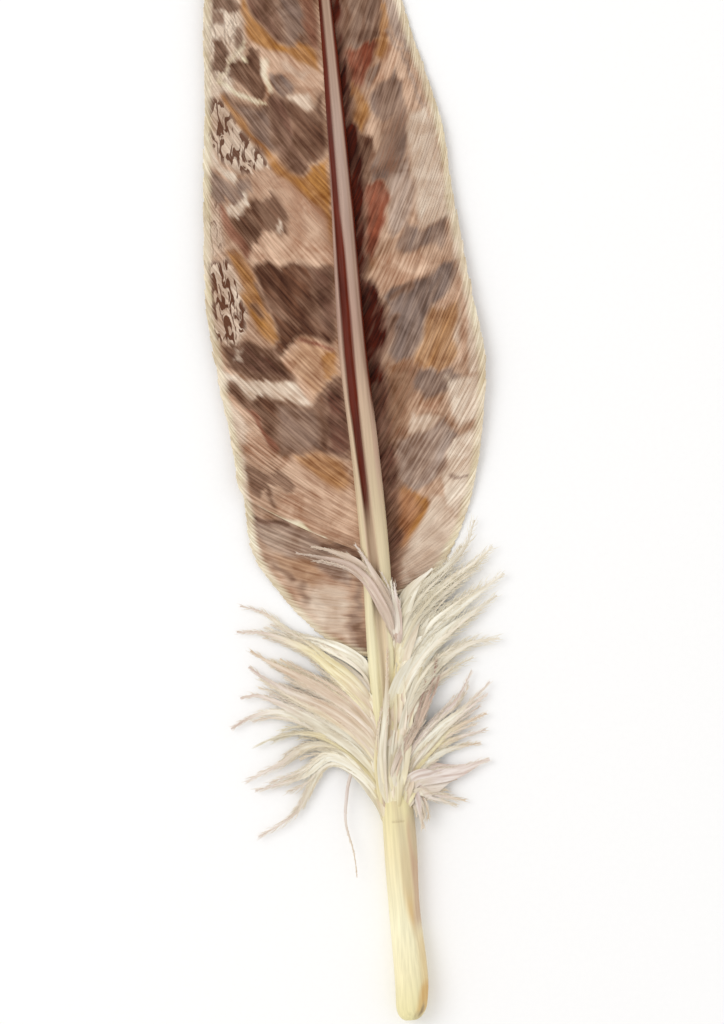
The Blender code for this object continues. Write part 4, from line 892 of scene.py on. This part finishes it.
# Across a ribbon: (share of its half width, share of its depth).
RIBBON_PROFILE = [(-1, -0.5), (-0.45, 0.75), (0.45, 0.75), (1, -0.5), (0, -0.9)]
HAIR_RADII, LOWEST_HAIR = (0.072, 0.062, 0.022), 0.16
FAN_SCATTER, ROOT_SCATTER, SWAY_OUT, ROOT_TILT, TIP_TILT = 0.14, (0.25, 0.6), 0.45, 0.22, 0.3
BED_LEVEL, LEAD_LEVEL, FILL_LEVELS = -0.2, 0.3, (0, 0.45)
ROOT_WIDTH, TIP_WIDTH, THINNEST = 0.12, 0.14, 0.07       # shares of a strand's own half width, and mm
STRAY_TONE, HAIR_WHITENESS = 0.6, 0.35
DOWN_KINDS = {"butter": 0.34, "fawn": 0.2, "umber": 0.02, "dove": 0.2, "lilac": 0.1, "white": 0.14}
# (deep tone, light tone) of each kind, each laid over the ones before it.
DOWN_TONES = {"butter": ("D9C899", "F3E9C4"), "fawn": ("CAAF95", "E9D8C4"), "dove": ("CCC0A8", "EAE3D0"),
              "lilac": ("CDB7AB", "EDE2DA"), "white": ("E8DFC8", "FBF8EC"), "umber": ("A07A6A", "C4A193")}


def down_height(x, y):
    """Height of the down: it lies on the shaft's front and slopes away to the surface on both sides."""
    off = x - curve_through(SHAFT_SWAY, y)
    side = curve_through(SHAFT_WIDTH, y) / 2
    on_shaft = shaft_front(np.clip(off, -0.85 * side, 0.85 * side), y) + 0.1
    return on_shaft + (1.2 - on_shaft) * smooth_step(0.8 * side, 4.4 * side, np.abs(off))


def lay_down(leads, seed, between, hairs_from=0.5, hair_length=2.0, hair_slant=20, hair_gap=0.42, pull=0.95,
             raised=0.0, spread=0.6, bed=True, patch=(0, 1)):
    """The strands and hairs of one tuft of down, as groups for make_piece.

    Each lead is (half width, root tone, middle tone, tip tone, [(x, y)...]) for a main barb, in order across
    the tuft. More strands, so many for each lead, fill the fan between them and draw in towards them at their
    tips. A bed of broad short strands lies underneath. Hairs stand free from a share of each strand onwards.
    """
    rng = np.random.default_rng(seed)
    share = np.linspace(0, 1, STRAND_STATIONS)
    mains = []
    for *_, stops in leads:
        stops = np.array(stops, float)
        walked = np.concatenate([[0], np.cumsum(np.linalg.norm(np.diff(stops, axis=0), axis=1))])
        mains.append(curve_through(np.column_stack([walked / walked[-1], stops]), share))
    mains = np.array(mains)
    lead_count = len(leads)
    bed_count = 2 * lead_count - 1 if bed else 0
    fill_count = between * (lead_count - 1)
    strands = lead_count + bed_count + fill_count
    fill = np.linspace(0, lead_count - 1, fill_count) + rng.normal(0, FAN_SCATTER, fill_count)
    fan = np.concatenate([np.arange(lead_count), np.linspace(0, lead_count - 1, bed_count), fill])
    fan = np.clip(fan, 0, lead_count - 1)
    is_lead, is_bed = np.arange(strands) < lead_count, (np.arange(strands) >= lead_count) & (
        np.arange(strands) < lead_count + bed_count)
    nearest = np.round(fan).astype(int)
    drawn = fan[:, None] + pull * share ** 1.5 * (nearest - fan)[:, None]
    low = np.clip(np.floor(drawn).astype(int), 0, max(lead_count - 2, 0))
    high = np.minimum(low + 1, lead_count - 1)
    part = np.clip(drawn - low, 0, 1)[..., None]
    column = np.arange(STRAND_STATIONS)[None, :]
    fanned = mains[low, column] * (1 - part) + mains[high, column] * part
    reach = np.where(is_lead, 1.0, np.where(is_bed, rng.uniform(*BED_REACH, strands),
                                             rng.uniform(*FILL_REACH, strands)))
    flat = np.stack([[np.interp(share * reach[i], share, fanned[i, :, axis]) for axis in (0, 1)]
                     for i in range(strands)]).transpose(0, 2, 1)
    loose = (~is_lead)[:, None, None] * 1.0
    flat = flat + loose * (rng.normal(size=(strands, 1, 2)) * spread * share[None, :, None] ** 1.3
                           + rng.normal(size=(strands, 1, 2)) * ROOT_SCATTER)
    ahead = np.gradient(flat, axis=1)
    ahead /= np.maximum(np.linalg.norm(ahead, axis=-1, keepdims=True), 1e-6)
    sway = np.stack([wander(rng, STRAND_STATIONS, 9) for _ in range(strands)]) * share * SWAY_OUT
    flat = flat + np.stack([-ahead[..., 1], ahead[..., 0]], -1) * sway[..., None]
    layer = np.where(is_bed, BED_LEVEL, np.where(is_lead, LEAD_LEVEL, rng.uniform(*FILL_LEVELS, strands)))
    layer = layer[:, None]
    z = down_height(flat[..., 0], flat[..., 1]) + raised + layer * smooth_step(0.0, 0.3, share)
    arch = ARCH_HEIGHT * np.sin(share * math.pi) * rng.uniform(-0.2, 1, (strands, 1))
    z += arch * smooth_step(2, 5, np.abs(flat[..., 0]))
    z -= ROOT_SINK * (1 - smooth_step(0.0, ROOT_SINK_SHARE, share))
    path = np.concatenate([flat, np.clip(z, LOWEST_STRAND, HIGHEST_STRAND)[..., None]], -1)
    ahead = np.gradient(path, axis=1)
    ahead /= np.maximum(np.linalg.norm(ahead, axis=-1, keepdims=True), 1e-6)
    side = np.cross(ahead, (0.0, 0.0, 1.0))
    side /= np.maximum(np.linalg.norm(side, axis=-1, keepdims=True), 1e-6)
    upward = np.cross(side, ahead)
    tilt = ROOT_TILT * rng.normal(size=(strands, 1)) + TIP_TILT * rng.normal(size=(strands, 1)) * share
    tilt = tilt[..., None]
    wide, thick = side * np.cos(tilt) + upward * np.sin(tilt), upward * np.cos(tilt) - side * np.sin(tilt)
    own_width = np.array([lead[0] for lead in leads])[nearest]
    fill_width = rng.uniform(*FILL_WIDTHS, strands)
    own_width = own_width * np.where(is_lead, 1.0, np.where(is_bed, BED_WIDTH, fill_width))
    taper = ROOT_WIDTH + (1 - ROOT_WIDTH) * smooth_step(0, 0.3, share)
    taper = taper * (1 - (1 - TIP_WIDTH) * smooth_step(0.45, 1.0, share))
    half = np.maximum(own_width[:, None] * taper, THINNEST)
    depth = 0.05 + 0.06 * half
    rings = np.stack([path + wide * (half * a)[..., None] + thick * (depth * b)[..., None]
                      for a, b in RIBBON_PROFILE], 2)
    sideways = np.stack([half * a for a, _ in RIBBON_PROFILE], -1)
    rings[..., 2] = np.maximum(rings[..., 2], 0.12)

    tones = np.array([[[(kind in tone) / len(tone.split()) for kind in DOWN_KINDS] for tone in lead[1:4]]
                      for lead in leads])
    age = smooth_step(0.05, 0.5, share), smooth_step(0.55, 0.95, share)
    ages = np.stack([1 - age[0], age[0] * (1 - age[1]), age[1]], -1)
    mixed = np.einsum("sa,nat->nst", ages, tones[nearest])
    kinds = rng.choice(len(DOWN_KINDS), strands, p=list(DOWN_KINDS.values()))
    vary = (rng.uniform(0.0, STRAY_TONE, strands) * ~is_lead)[:, None, None]
    mixed = mixed * (1 - vary) + vary * (kinds[:, None, None] == np.arange(len(DOWN_KINDS)))
    length = np.linalg.norm(np.diff(path, axis=1), axis=-1).sum(1)
    number = rng.uniform(size=(strands, 1))

    def traits_of(tone, run, row, sideways=0.0):
        run, row = run[..., None], row[..., None]
        grain = np.stack(np.broadcast_arrays(run, row * 40 + sideways, row), -1)
        return {"down_0": tone[..., None, :3], "down_1": tone[..., None, 3:], "comb": grain}

    run = share * length[:, None]
    ribbons = (rings, traits_of(mixed, run, np.broadcast_to(number, run.shape), sideways), 8,
               (patch[0], 0, patch[1], 0.5))

    # Hairs, the loose barbules: they leave the ribbon forwards on both sides and curl a little at their ends.
    owner, at = [], []
    for i in np.flatnonzero(~is_bed):
        places = np.arange(hairs_from * length[i], 0.985 * length[i], hair_gap)
        owner.append(np.repeat(np.full(len(places), i), 2))
        at.append(np.repeat(places / length[i], 2))
    owner, at = np.concatenate(owner), np.concatenate(at)
    hairs = len(owner)
    at = np.clip(at + rng.normal(0, 0.006, hairs), 0.02, 0.99)
    position = at * (STRAND_STATIONS - 1)
    before = np.floor(position).astype(int)
    blend = (position - before)[:, None]
    pick = lambda field: field[owner, before] * (1 - blend) + field[owner, before + 1] * blend
    hair_side = np.where(np.arange(hairs) % 2 == 0, 1.0, -1.0)[:, None]
    fresh = smooth_step(hairs_from - 0.05, hairs_from + 0.3, at)[:, None]
    reach = hair_length * rng.uniform(0.5, 1.2, (hairs, 1)) * (0.5 + 0.5 * fresh)
    reach *= 1 - 0.3 * at[:, None] ** 6
    angle = np.radians(rng.normal(hair_slant, 0.35 * hair_slant, (hairs, 1)))
    heading, outward, lifted = pick(ahead), pick(wide), pick(thick)
    root = pick(path) + outward * hair_side * pick(half[..., None]) * rng.uniform(0.2, 0.8, (hairs, 1))
    first = heading * np.cos(angle) + outward * hair_side * np.sin(angle) + lifted * rng.normal(
        0, 0.12, (hairs, 1))
    later = heading * np.cos(0.3 * angle) + outward * hair_side * np.sin(0.3 * angle) + lifted * rng.normal(
        0, 0.2, (hairs, 1)) - np.array([0, 0, 0.08])
    line = np.stack([root, root + first * reach * 0.5, root + first * reach * 0.5 + later * reach * 0.5], 1)
    line[..., 2] = np.maximum(line[..., 2], LOWEST_HAIR)
    radius = np.array(HAIR_RADII)[None, :, None] * rng.uniform(0.8, 1.25, (hairs, 1, 1))
    square = np.cross(first, (0.0, 0.0, 1.0))
    square /= np.linalg.norm(square, axis=-1, keepdims=True)
    over = np.cross(square, first)
    over /= np.linalg.norm(over, axis=-1, keepdims=True)
    hair_rings = np.stack([line + radius * (square[:, None] * math.cos(a) + over[:, None] * math.sin(a))
                           for a in (math.pi / 2, math.pi * 7 / 6, math.pi * 11 / 6)], 2)
    white = np.array(list(DOWN_KINDS)) == "white"
    hair_tone = np.repeat((1 - HAIR_WHITENESS) * pick(mixed)[:, None] + HAIR_WHITENESS * white, 3, axis=1)
    row = np.repeat(rng.uniform(size=(hairs, 1)), 3, axis=1)
    run = at[:, None] * length[owner][:, None] + np.array([0.0, 0.5, 1.0]) * reach
    columns = max(1, int(math.sqrt(hairs) * 1.4 * (patch[1] - patch[0])))
    return [ribbons, (hair_rings, traits_of(hair_tone, run, row), columns, (patch[0], 0.5, patch[1], 1))]


down = new_material("soft down")
tree = down.node_tree
# Down is matt and glows a little at its edges. It is cream and butter at the root, fawn and grey further out.
comb = add_node(tree, "ShaderNodeAttribute", {"attribute_name": "comb"})
comb_axes = add_node(tree, "ShaderNodeSeparateXYZ", {}, {0: comb.outputs["Vector"]})
noises = {}
# Barbules lie about 0.05 mm apart along a ribbon, too fine to show: the nap is drawn six times as coarse.
for key, per_mm, detail in (("drift", (0.13, 1.5, 0.0), 3.0), ("nap", (3.3, 1.0, 0.0), 2.0)):
    spot = add_node(tree, "ShaderNodeVectorMath", {"operation": "MULTIPLY"},
                    {0: comb.outputs["Vector"], 1: per_mm})
    noises[key] = add_node(tree, "ShaderNodeTexNoise", {"noise_dimensions": "2D"},
                           {"Vector": spot.outputs[0], "Scale": 1.0, "Detail": detail}).outputs["Fac"]
amounts = read_amounts(tree, "down", DOWN_KINDS)
colour = add_node(tree, "ShaderNodeMix", {"data_type": "RGBA"}, {
    0: noises["drift"], 6: linear("DCCFB3"), 7: linear("F1E8D6")}).outputs[2]
shade = add_node(tree, "ShaderNodeMapRange", {}, {"Value": noises["drift"], "From Min": 0.3, "From Max": 0.7})
for kind, (deep, light) in DOWN_TONES.items():
    colour = paint_over(tree, colour, amounts[kind], shade.outputs[0], deep, light)
fade = add_node(tree, "ShaderNodeMapRange", {},
                {"Value": comb_axes.outputs["Z"], "To Min": 0.96, "To Max": 1.07})
colour = add_node(tree, "ShaderNodeVectorMath", {"operation": "SCALE"},
                  {0: colour, "Scale": fade.outputs[0]}).outputs[0]
finish_surface(tree, colour, noises["nap"], (0.75, 0.92), noises["nap"], (0.3, 0.04),
               {"IOR": 1.5, "Specular IOR Level": 0.1, "Sheen Weight": 0.3, "Sheen Roughness": 0.5})

make_piece("down_left_upper", lay_down([
    (1.5, "butter", "dove", "lilac", [(-1.5, 44.5), (-2.8, 51.5), (-7, 57.6), (-14, 63.0), (-21.6, 67.6),
        (-26.6, 70.1), (-30.4, 69.9)]),
    (1.6, "butter", "fawn", "lilac", [(-1.6, 47.5), (-2.9, 56), (-7.4, 62.4), (-12.8, 66.6), (-20.1, 70.4),
        (-25.6, 73.9), (-28.3, 76.3)]),
    (1.5, "butter", "fawn", "fawn", [(-1.9, 52), (-3.0, 59.6), (-8.2, 66.4), (-15.2, 71.4), (-22.4, 75.9),
        (-27.6, 79.6)]),
    (1.1, "fawn", "butter", "lilac", [(-2.2, 58), (-3.4, 64.6), (-7.0, 70.4), (-11.3, 74.9), (-15.2, 78.8),
        (-23.9, 83.5), (-29.9, 84.4)]),
    (0.8, "dove", "white", "lilac", [(-2.9, 71), (-4.6, 75.6), (-12.2, 80.1), (-18.1, 82.5), (-23.8, 87.2),
        (-28.9, 89.2)]),
], 41, 11), down)

# ---------------------------------------------------------------------------------------------------
# Down, lower left tuft. The longest and loosest barbs, rooted at the top of the quill. They sweep up
# and out, and then droop under their own weight.
# ---------------------------------------------------------------------------------------------------
make_piece("down_left_lower", lay_down([
    (0.8, "butter", "dove", "lilac", [(-2.6, 42), (-3.6, 47.4), (-6.2, 52.0), (-10.0, 55.0), (-13.6, 55.4),
        (-16.6, 51.6), (-20.4, 45.8), (-29.3, 41.1)]),
    (1.0, "butter", "white", "lilac", [(-2.3, 42.4), (-3.5, 48.4), (-7.4, 53.6), (-12.8, 56.4), (-18.6, 52.9),
        (-28.9, 50.2)]),
    (1.1, "butter", "dove", "lilac", [(-2.1, 43), (-3.4, 49.2), (-7.4, 54.8), (-12.4, 58.0), (-17.8, 58.4),
        (-23, 55.6), (-30.8, 52.4)]),
    (1.2, "butter", "butter", "dove", [(-1.9, 43.4), (-3.2, 50.2), (-7.2, 56), (-12, 59.6), (-17.2, 61.4),
        (-22.6, 61.2), (-28, 59.4)]),
    (1.4, "butter", "white", "lilac", [(-1.6, 44), (-3.0, 51), (-7.0, 57.0), (-13, 62.0), (-18, 65.0),
        (-23.2, 66.8), (-27.9, 66.3), (-33.0, 64)]),
], 53, 8, hair_length=2.2, spread=0.4), down)

# ---------------------------------------------------------------------------------------------------
# Down, upper right tuft. Tall soft barbs that rise along the shaft and lie over the foot of the web.
# ---------------------------------------------------------------------------------------------------
make_piece("down_right_upper", lay_down([
    (1.1, "fawn", "fawn", "lilac white", [(0.2, 52), (2.2, 58.5), (5.4, 64), (9.4, 69.0), (14.6, 72.4),
        (19.1, 74.2)]),
    (1.5, "fawn", "dove", "lilac white", [(0.6, 56), (2.8, 63), (6.6, 68.8), (11.8, 74.2), (18.6, 77.6),
        (24.8, 78.2)]),
    (1.7, "butter", "white", "lilac white", [(1.0, 60), (4.3, 69.5), (9.2, 76.2), (14.8, 80.6), (19.6, 83.6),
        (25.1, 86.8)]),
    (1.6, "butter", "white", "lilac white", [(1.6, 65.5), (4.9, 74.1), (10.6, 80.8), (16.4, 84.8),
        (21.6, 88.0), (27, 91.4)]),
    (1.5, "butter", "dove", "lilac white", [(2.0, 71), (4.8, 79.3), (10, 86.4), (15.7, 90.8), (20.6, 94.0),
        (24.9, 97.4)]),
    (1.1, "butter", "dove", "lilac white", [(2.8, 78.5), (5.0, 84.5), (9.3, 89.6), (14.5, 93.4), (19.8, 98.4),
        (22, 103.0)]),
], 67, 8, hairs_from=0.42, hair_length=2.8, hair_slant=30, hair_gap=0.62, raised=0.3), down)

# ---------------------------------------------------------------------------------------------------
# Down, lower right tuft. Shorter barbs at the top of the quill, with one broad barb whose lower edge
# is serrated, and a few small ones that droop beside the quill.
# ---------------------------------------------------------------------------------------------------
make_piece("down_right_lower", lay_down([
    (0.6, "lilac", "lilac", "fawn", [(3.3, 50.4), (4.4, 47.8), (5.0, 44), (5.0, 39.6)]),
    (0.6, "dove", "lilac", "fawn", [(2.6, 47.4), (4.9, 48.4), (8.5, 46.6), (14.8, 44.9)]),
    (1.9, "dove", "lilac", "lilac", [(2.4, 46.6), (5, 50.0), (9.4, 50.8), (14.4, 51.3), (20.6, 52.6)]),
    (0.9, "butter", "white", "fawn", [(2.2, 43.6), (3.9, 49.4), (9.1, 54.0), (14, 55.9), (18.9, 56.6)]),
    (1.0, "butter", "butter", "lilac", [(1.8, 43.4), (3.8, 50.4), (9.3, 55.6), (14.6, 58.2), (20.2, 59.4)]),
    (1.1, "butter", "butter", "fawn", [(1.4, 43.4), (3.7, 51.6), (9.3, 57.0), (14.8, 60.4), (20.6, 62.9)]),
    (1.0, "butter", "dove", "lilac", [(1.0, 44), (3.5, 52.6), (9.5, 58.4), (15.2, 62.4), (21.6, 66.2)]),
    (0.8, "fawn", "white", "lilac", [(0.6, 45), (3.5, 54), (9.6, 59.8), (15.6, 63.8), (21.8, 69.3)]),
    (0.9, "umber", "lilac", "lilac", [(-0.6, 46.4), (3.2, 55.4), (9.0, 61.6), (14.4, 65.8), (18.2, 71.9)]),
], 71, 6, hairs_from=0.45, hair_length=1.7, spread=0.5), down)

# ---------------------------------------------------------------------------------------------------
# Down over the shaft. A thin layer of broad soft barbs that springs from the top of the quill, lies
# flat on the shaft's front and ends in two forked locks over the groove.
# ---------------------------------------------------------------------------------------------------
layer = lay_down([
    (0.8, "butter", "butter", "fawn", [(-2.5, 41.5), (-2.7, 48), (-3.0, 54), (-2.6, 60), (-1.4, 66)]),
    (0.8, "butter", "dove", "fawn", [(-1.5, 42.8), (-1.7, 50), (-1.4, 57), (-0.2, 64), (0.6, 71), (1.2, 78)]),
    (1.3, "butter", "dove", "butter", [(-0.1, 44.5), (0.6, 51), (2.2, 57), (4.4, 64), (6.6, 70), (9.0, 76),
        (11.4, 81)]),
    (1.3, "butter", "fawn", "butter", [(1.3, 43.0), (1.9, 51), (3.2, 60), (3.6, 68), (4.6, 75), (6.6, 82)]),
    (1.4, "fawn", "butter", "dove", [(1.0, 58), (1.9, 65), (3.0, 72), (4.2, 79), (6.4, 85)]),
], 83, 8, hairs_from=0.8, hair_length=1.2, pull=0.6, raised=0.3, spread=0.4, patch=(0, 0.6))
locks = lay_down([
    (1.5, "dove umber", "lilac umber", "lilac umber", [(3.0, 77), (2.5, 81.5), (0.7, 87.2), (-1.8, 92.0),
        (-5.4, 95.6), (-11, 98.0), (-16.2, 99.4)]),
    (1.3, "lilac", "dove umber", "dove umber", [(3.1, 77.5), (2.9, 82.5), (1.3, 88.2), (-1.2, 93.0),
        (-4.4, 96.8), (-9.4, 99.8), (-12.8, 100.8)]),
    (0.9, "dove umber", "dove umber", "lilac", [(3.1, 78), (3.0, 83), (1.8, 88.6), (-0.3, 93.2), (-2.4, 97.4),
        (-4.0, 100.0)]),
    (0.95, "lilac umber", "lilac umber", "lilac", [(3.2, 77), (3.9, 82), (4.3, 86.6), (4.2, 91.5)]),
], 89, 5, hairs_from=0.75, hair_length=1.4, pull=0.75, raised=0.75, spread=0.3, bed=False, patch=(0.6, 0.9))
brown_barbs = lay_down([
    (0.45, "fawn", "lilac umber", "umber", [(-1.0, 47.4), (0.0, 52), (2.4, 56.8), (5.6, 61.4), (7.6, 66.4),
        (8.8, 70.4)]),
    (0.7, "fawn", "fawn umber", "umber", [(0.8, 51), (3.4, 57.2), (7.0, 62.6), (9.4, 68), (11.2, 74.4)]),
], 101, 7, hairs_from=0.4, hair_length=1.8, hair_slant=14, hair_gap=0.5, pull=0.5, raised=0.75, spread=0.5,
    bed=False, patch=(0.9, 1))
make_piece("down_over_shaft", layer + locks + brown_barbs, down)

# ---------------------------------------------------------------------------------------------------
# The loose barb. One thin downy barb that has come away from its tuft and hangs beside the quill.
# ---------------------------------------------------------------------------------------------------
make_piece("loose_down_barb", lay_down([
    (0.36, "dove", "lilac", "fawn", [(-3.2, 46.5), (-5.6, 51.6), (-7.5, 54), (-9.2, 50.8), (-10, 47.7),
        (-10.8, 42.3), (-9.9, 36.3), (-9.6, 30.6)]),
], 97, 0, hair_length=0.7, hair_gap=0.6, bed=False), down)

# ---------------------------------------------------------------------------------------------------
# The floor, light and camera: a matt off-white sheet, one wide soft lamp up to the left, pale air all
# round, and a camera straight above the feather with its top edge turned a little to the left.
# ---------------------------------------------------------------------------------------------------
floor_mesh = bpy.data.meshes.new("floor")
half_floor = 4.0
floor_corners = [(x * half_floor, y * half_floor, 0) for x, y in ((-1, -1), (1, -1), (1, 1), (-1, 1))]
floor_mesh.from_pydata(floor_corners, [], [(0, 1, 2, 3)])
floor = bpy.data.objects.new("floor", floor_mesh)
bpy.context.scene.collection.objects.link(floor)
paper = new_material("matt white paper")
tree = paper.node_tree
place = add_node(tree, "ShaderNodeTexCoord").outputs["Object"]
fibres = add_node(tree, "ShaderNodeTexNoise", {},
                  {"Vector": place, "Scale": 900.0, "Detail": 3.0}).outputs["Fac"]
paper_colour = add_node(tree, "ShaderNodeMix", {"data_type": "RGBA"}, {
    0: fibres, 6: linear("FAF9F8"), 7: linear("FDFCFB")})
finish_surface(tree, paper_colour.outputs[2], fibres, (0.9, 0.9), fibres, (0.1, 0.05),
               {"Specular IOR Level": 0.1})
floor_mesh.materials.append(paper)

world = bpy.data.worlds.new("studio air")
world.use_nodes = True
world.node_tree.nodes.clear()
air = add_node(world.node_tree, "ShaderNodeBackground", {}, {"Color": linear("FFFFFF"), "Strength": 0.85})
add_node(world.node_tree, "ShaderNodeOutputWorld", {}, {"Surface": air.outputs[0]})
bpy.context.scene.world = world

lamp = bpy.data.lights.new("soft lamp", "AREA")
lamp.shape, lamp.size, lamp.energy = "DISK", 0.9, 4.9
lamp_stand = bpy.data.objects.new("soft lamp", lamp)
lamp_stand.location = (-0.75, 0.35, 1.0)
lamp_stand.rotation_euler = lamp_stand.location.to_track_quat("Z", "Y").to_euler()
bpy.context.scene.collection.objects.link(lamp_stand)

# The view covers 152 x 215 mm of the plan, and its middle is over the shaft, 107 mm up from the quill's foot.
VIEW_TALL, VIEW_MIDDLE, VIEW_TURN, CAMERA_UP = 215.0, (-1.6, 106.8, 0.0), 5.0, 1.2
camera = bpy.data.cameras.new("camera")
camera.sensor_width = 36.0
camera.lens = camera.sensor_width * CAMERA_UP / (VIEW_TALL * MM)
camera_stand = bpy.data.objects.new("camera", camera)
camera_stand.location = plan_origin + np.array(VIEW_MIDDLE) * MM + (0, 0, CAMERA_UP)
camera_stand.rotation_euler = (0, 0, math.radians(-VIEW_TURN))
bpy.context.scene.collection.objects.link(camera_stand)
bpy.context.scene.camera = camera_stand
bpy.context.scene.view_settings.view_transform = "Standard"
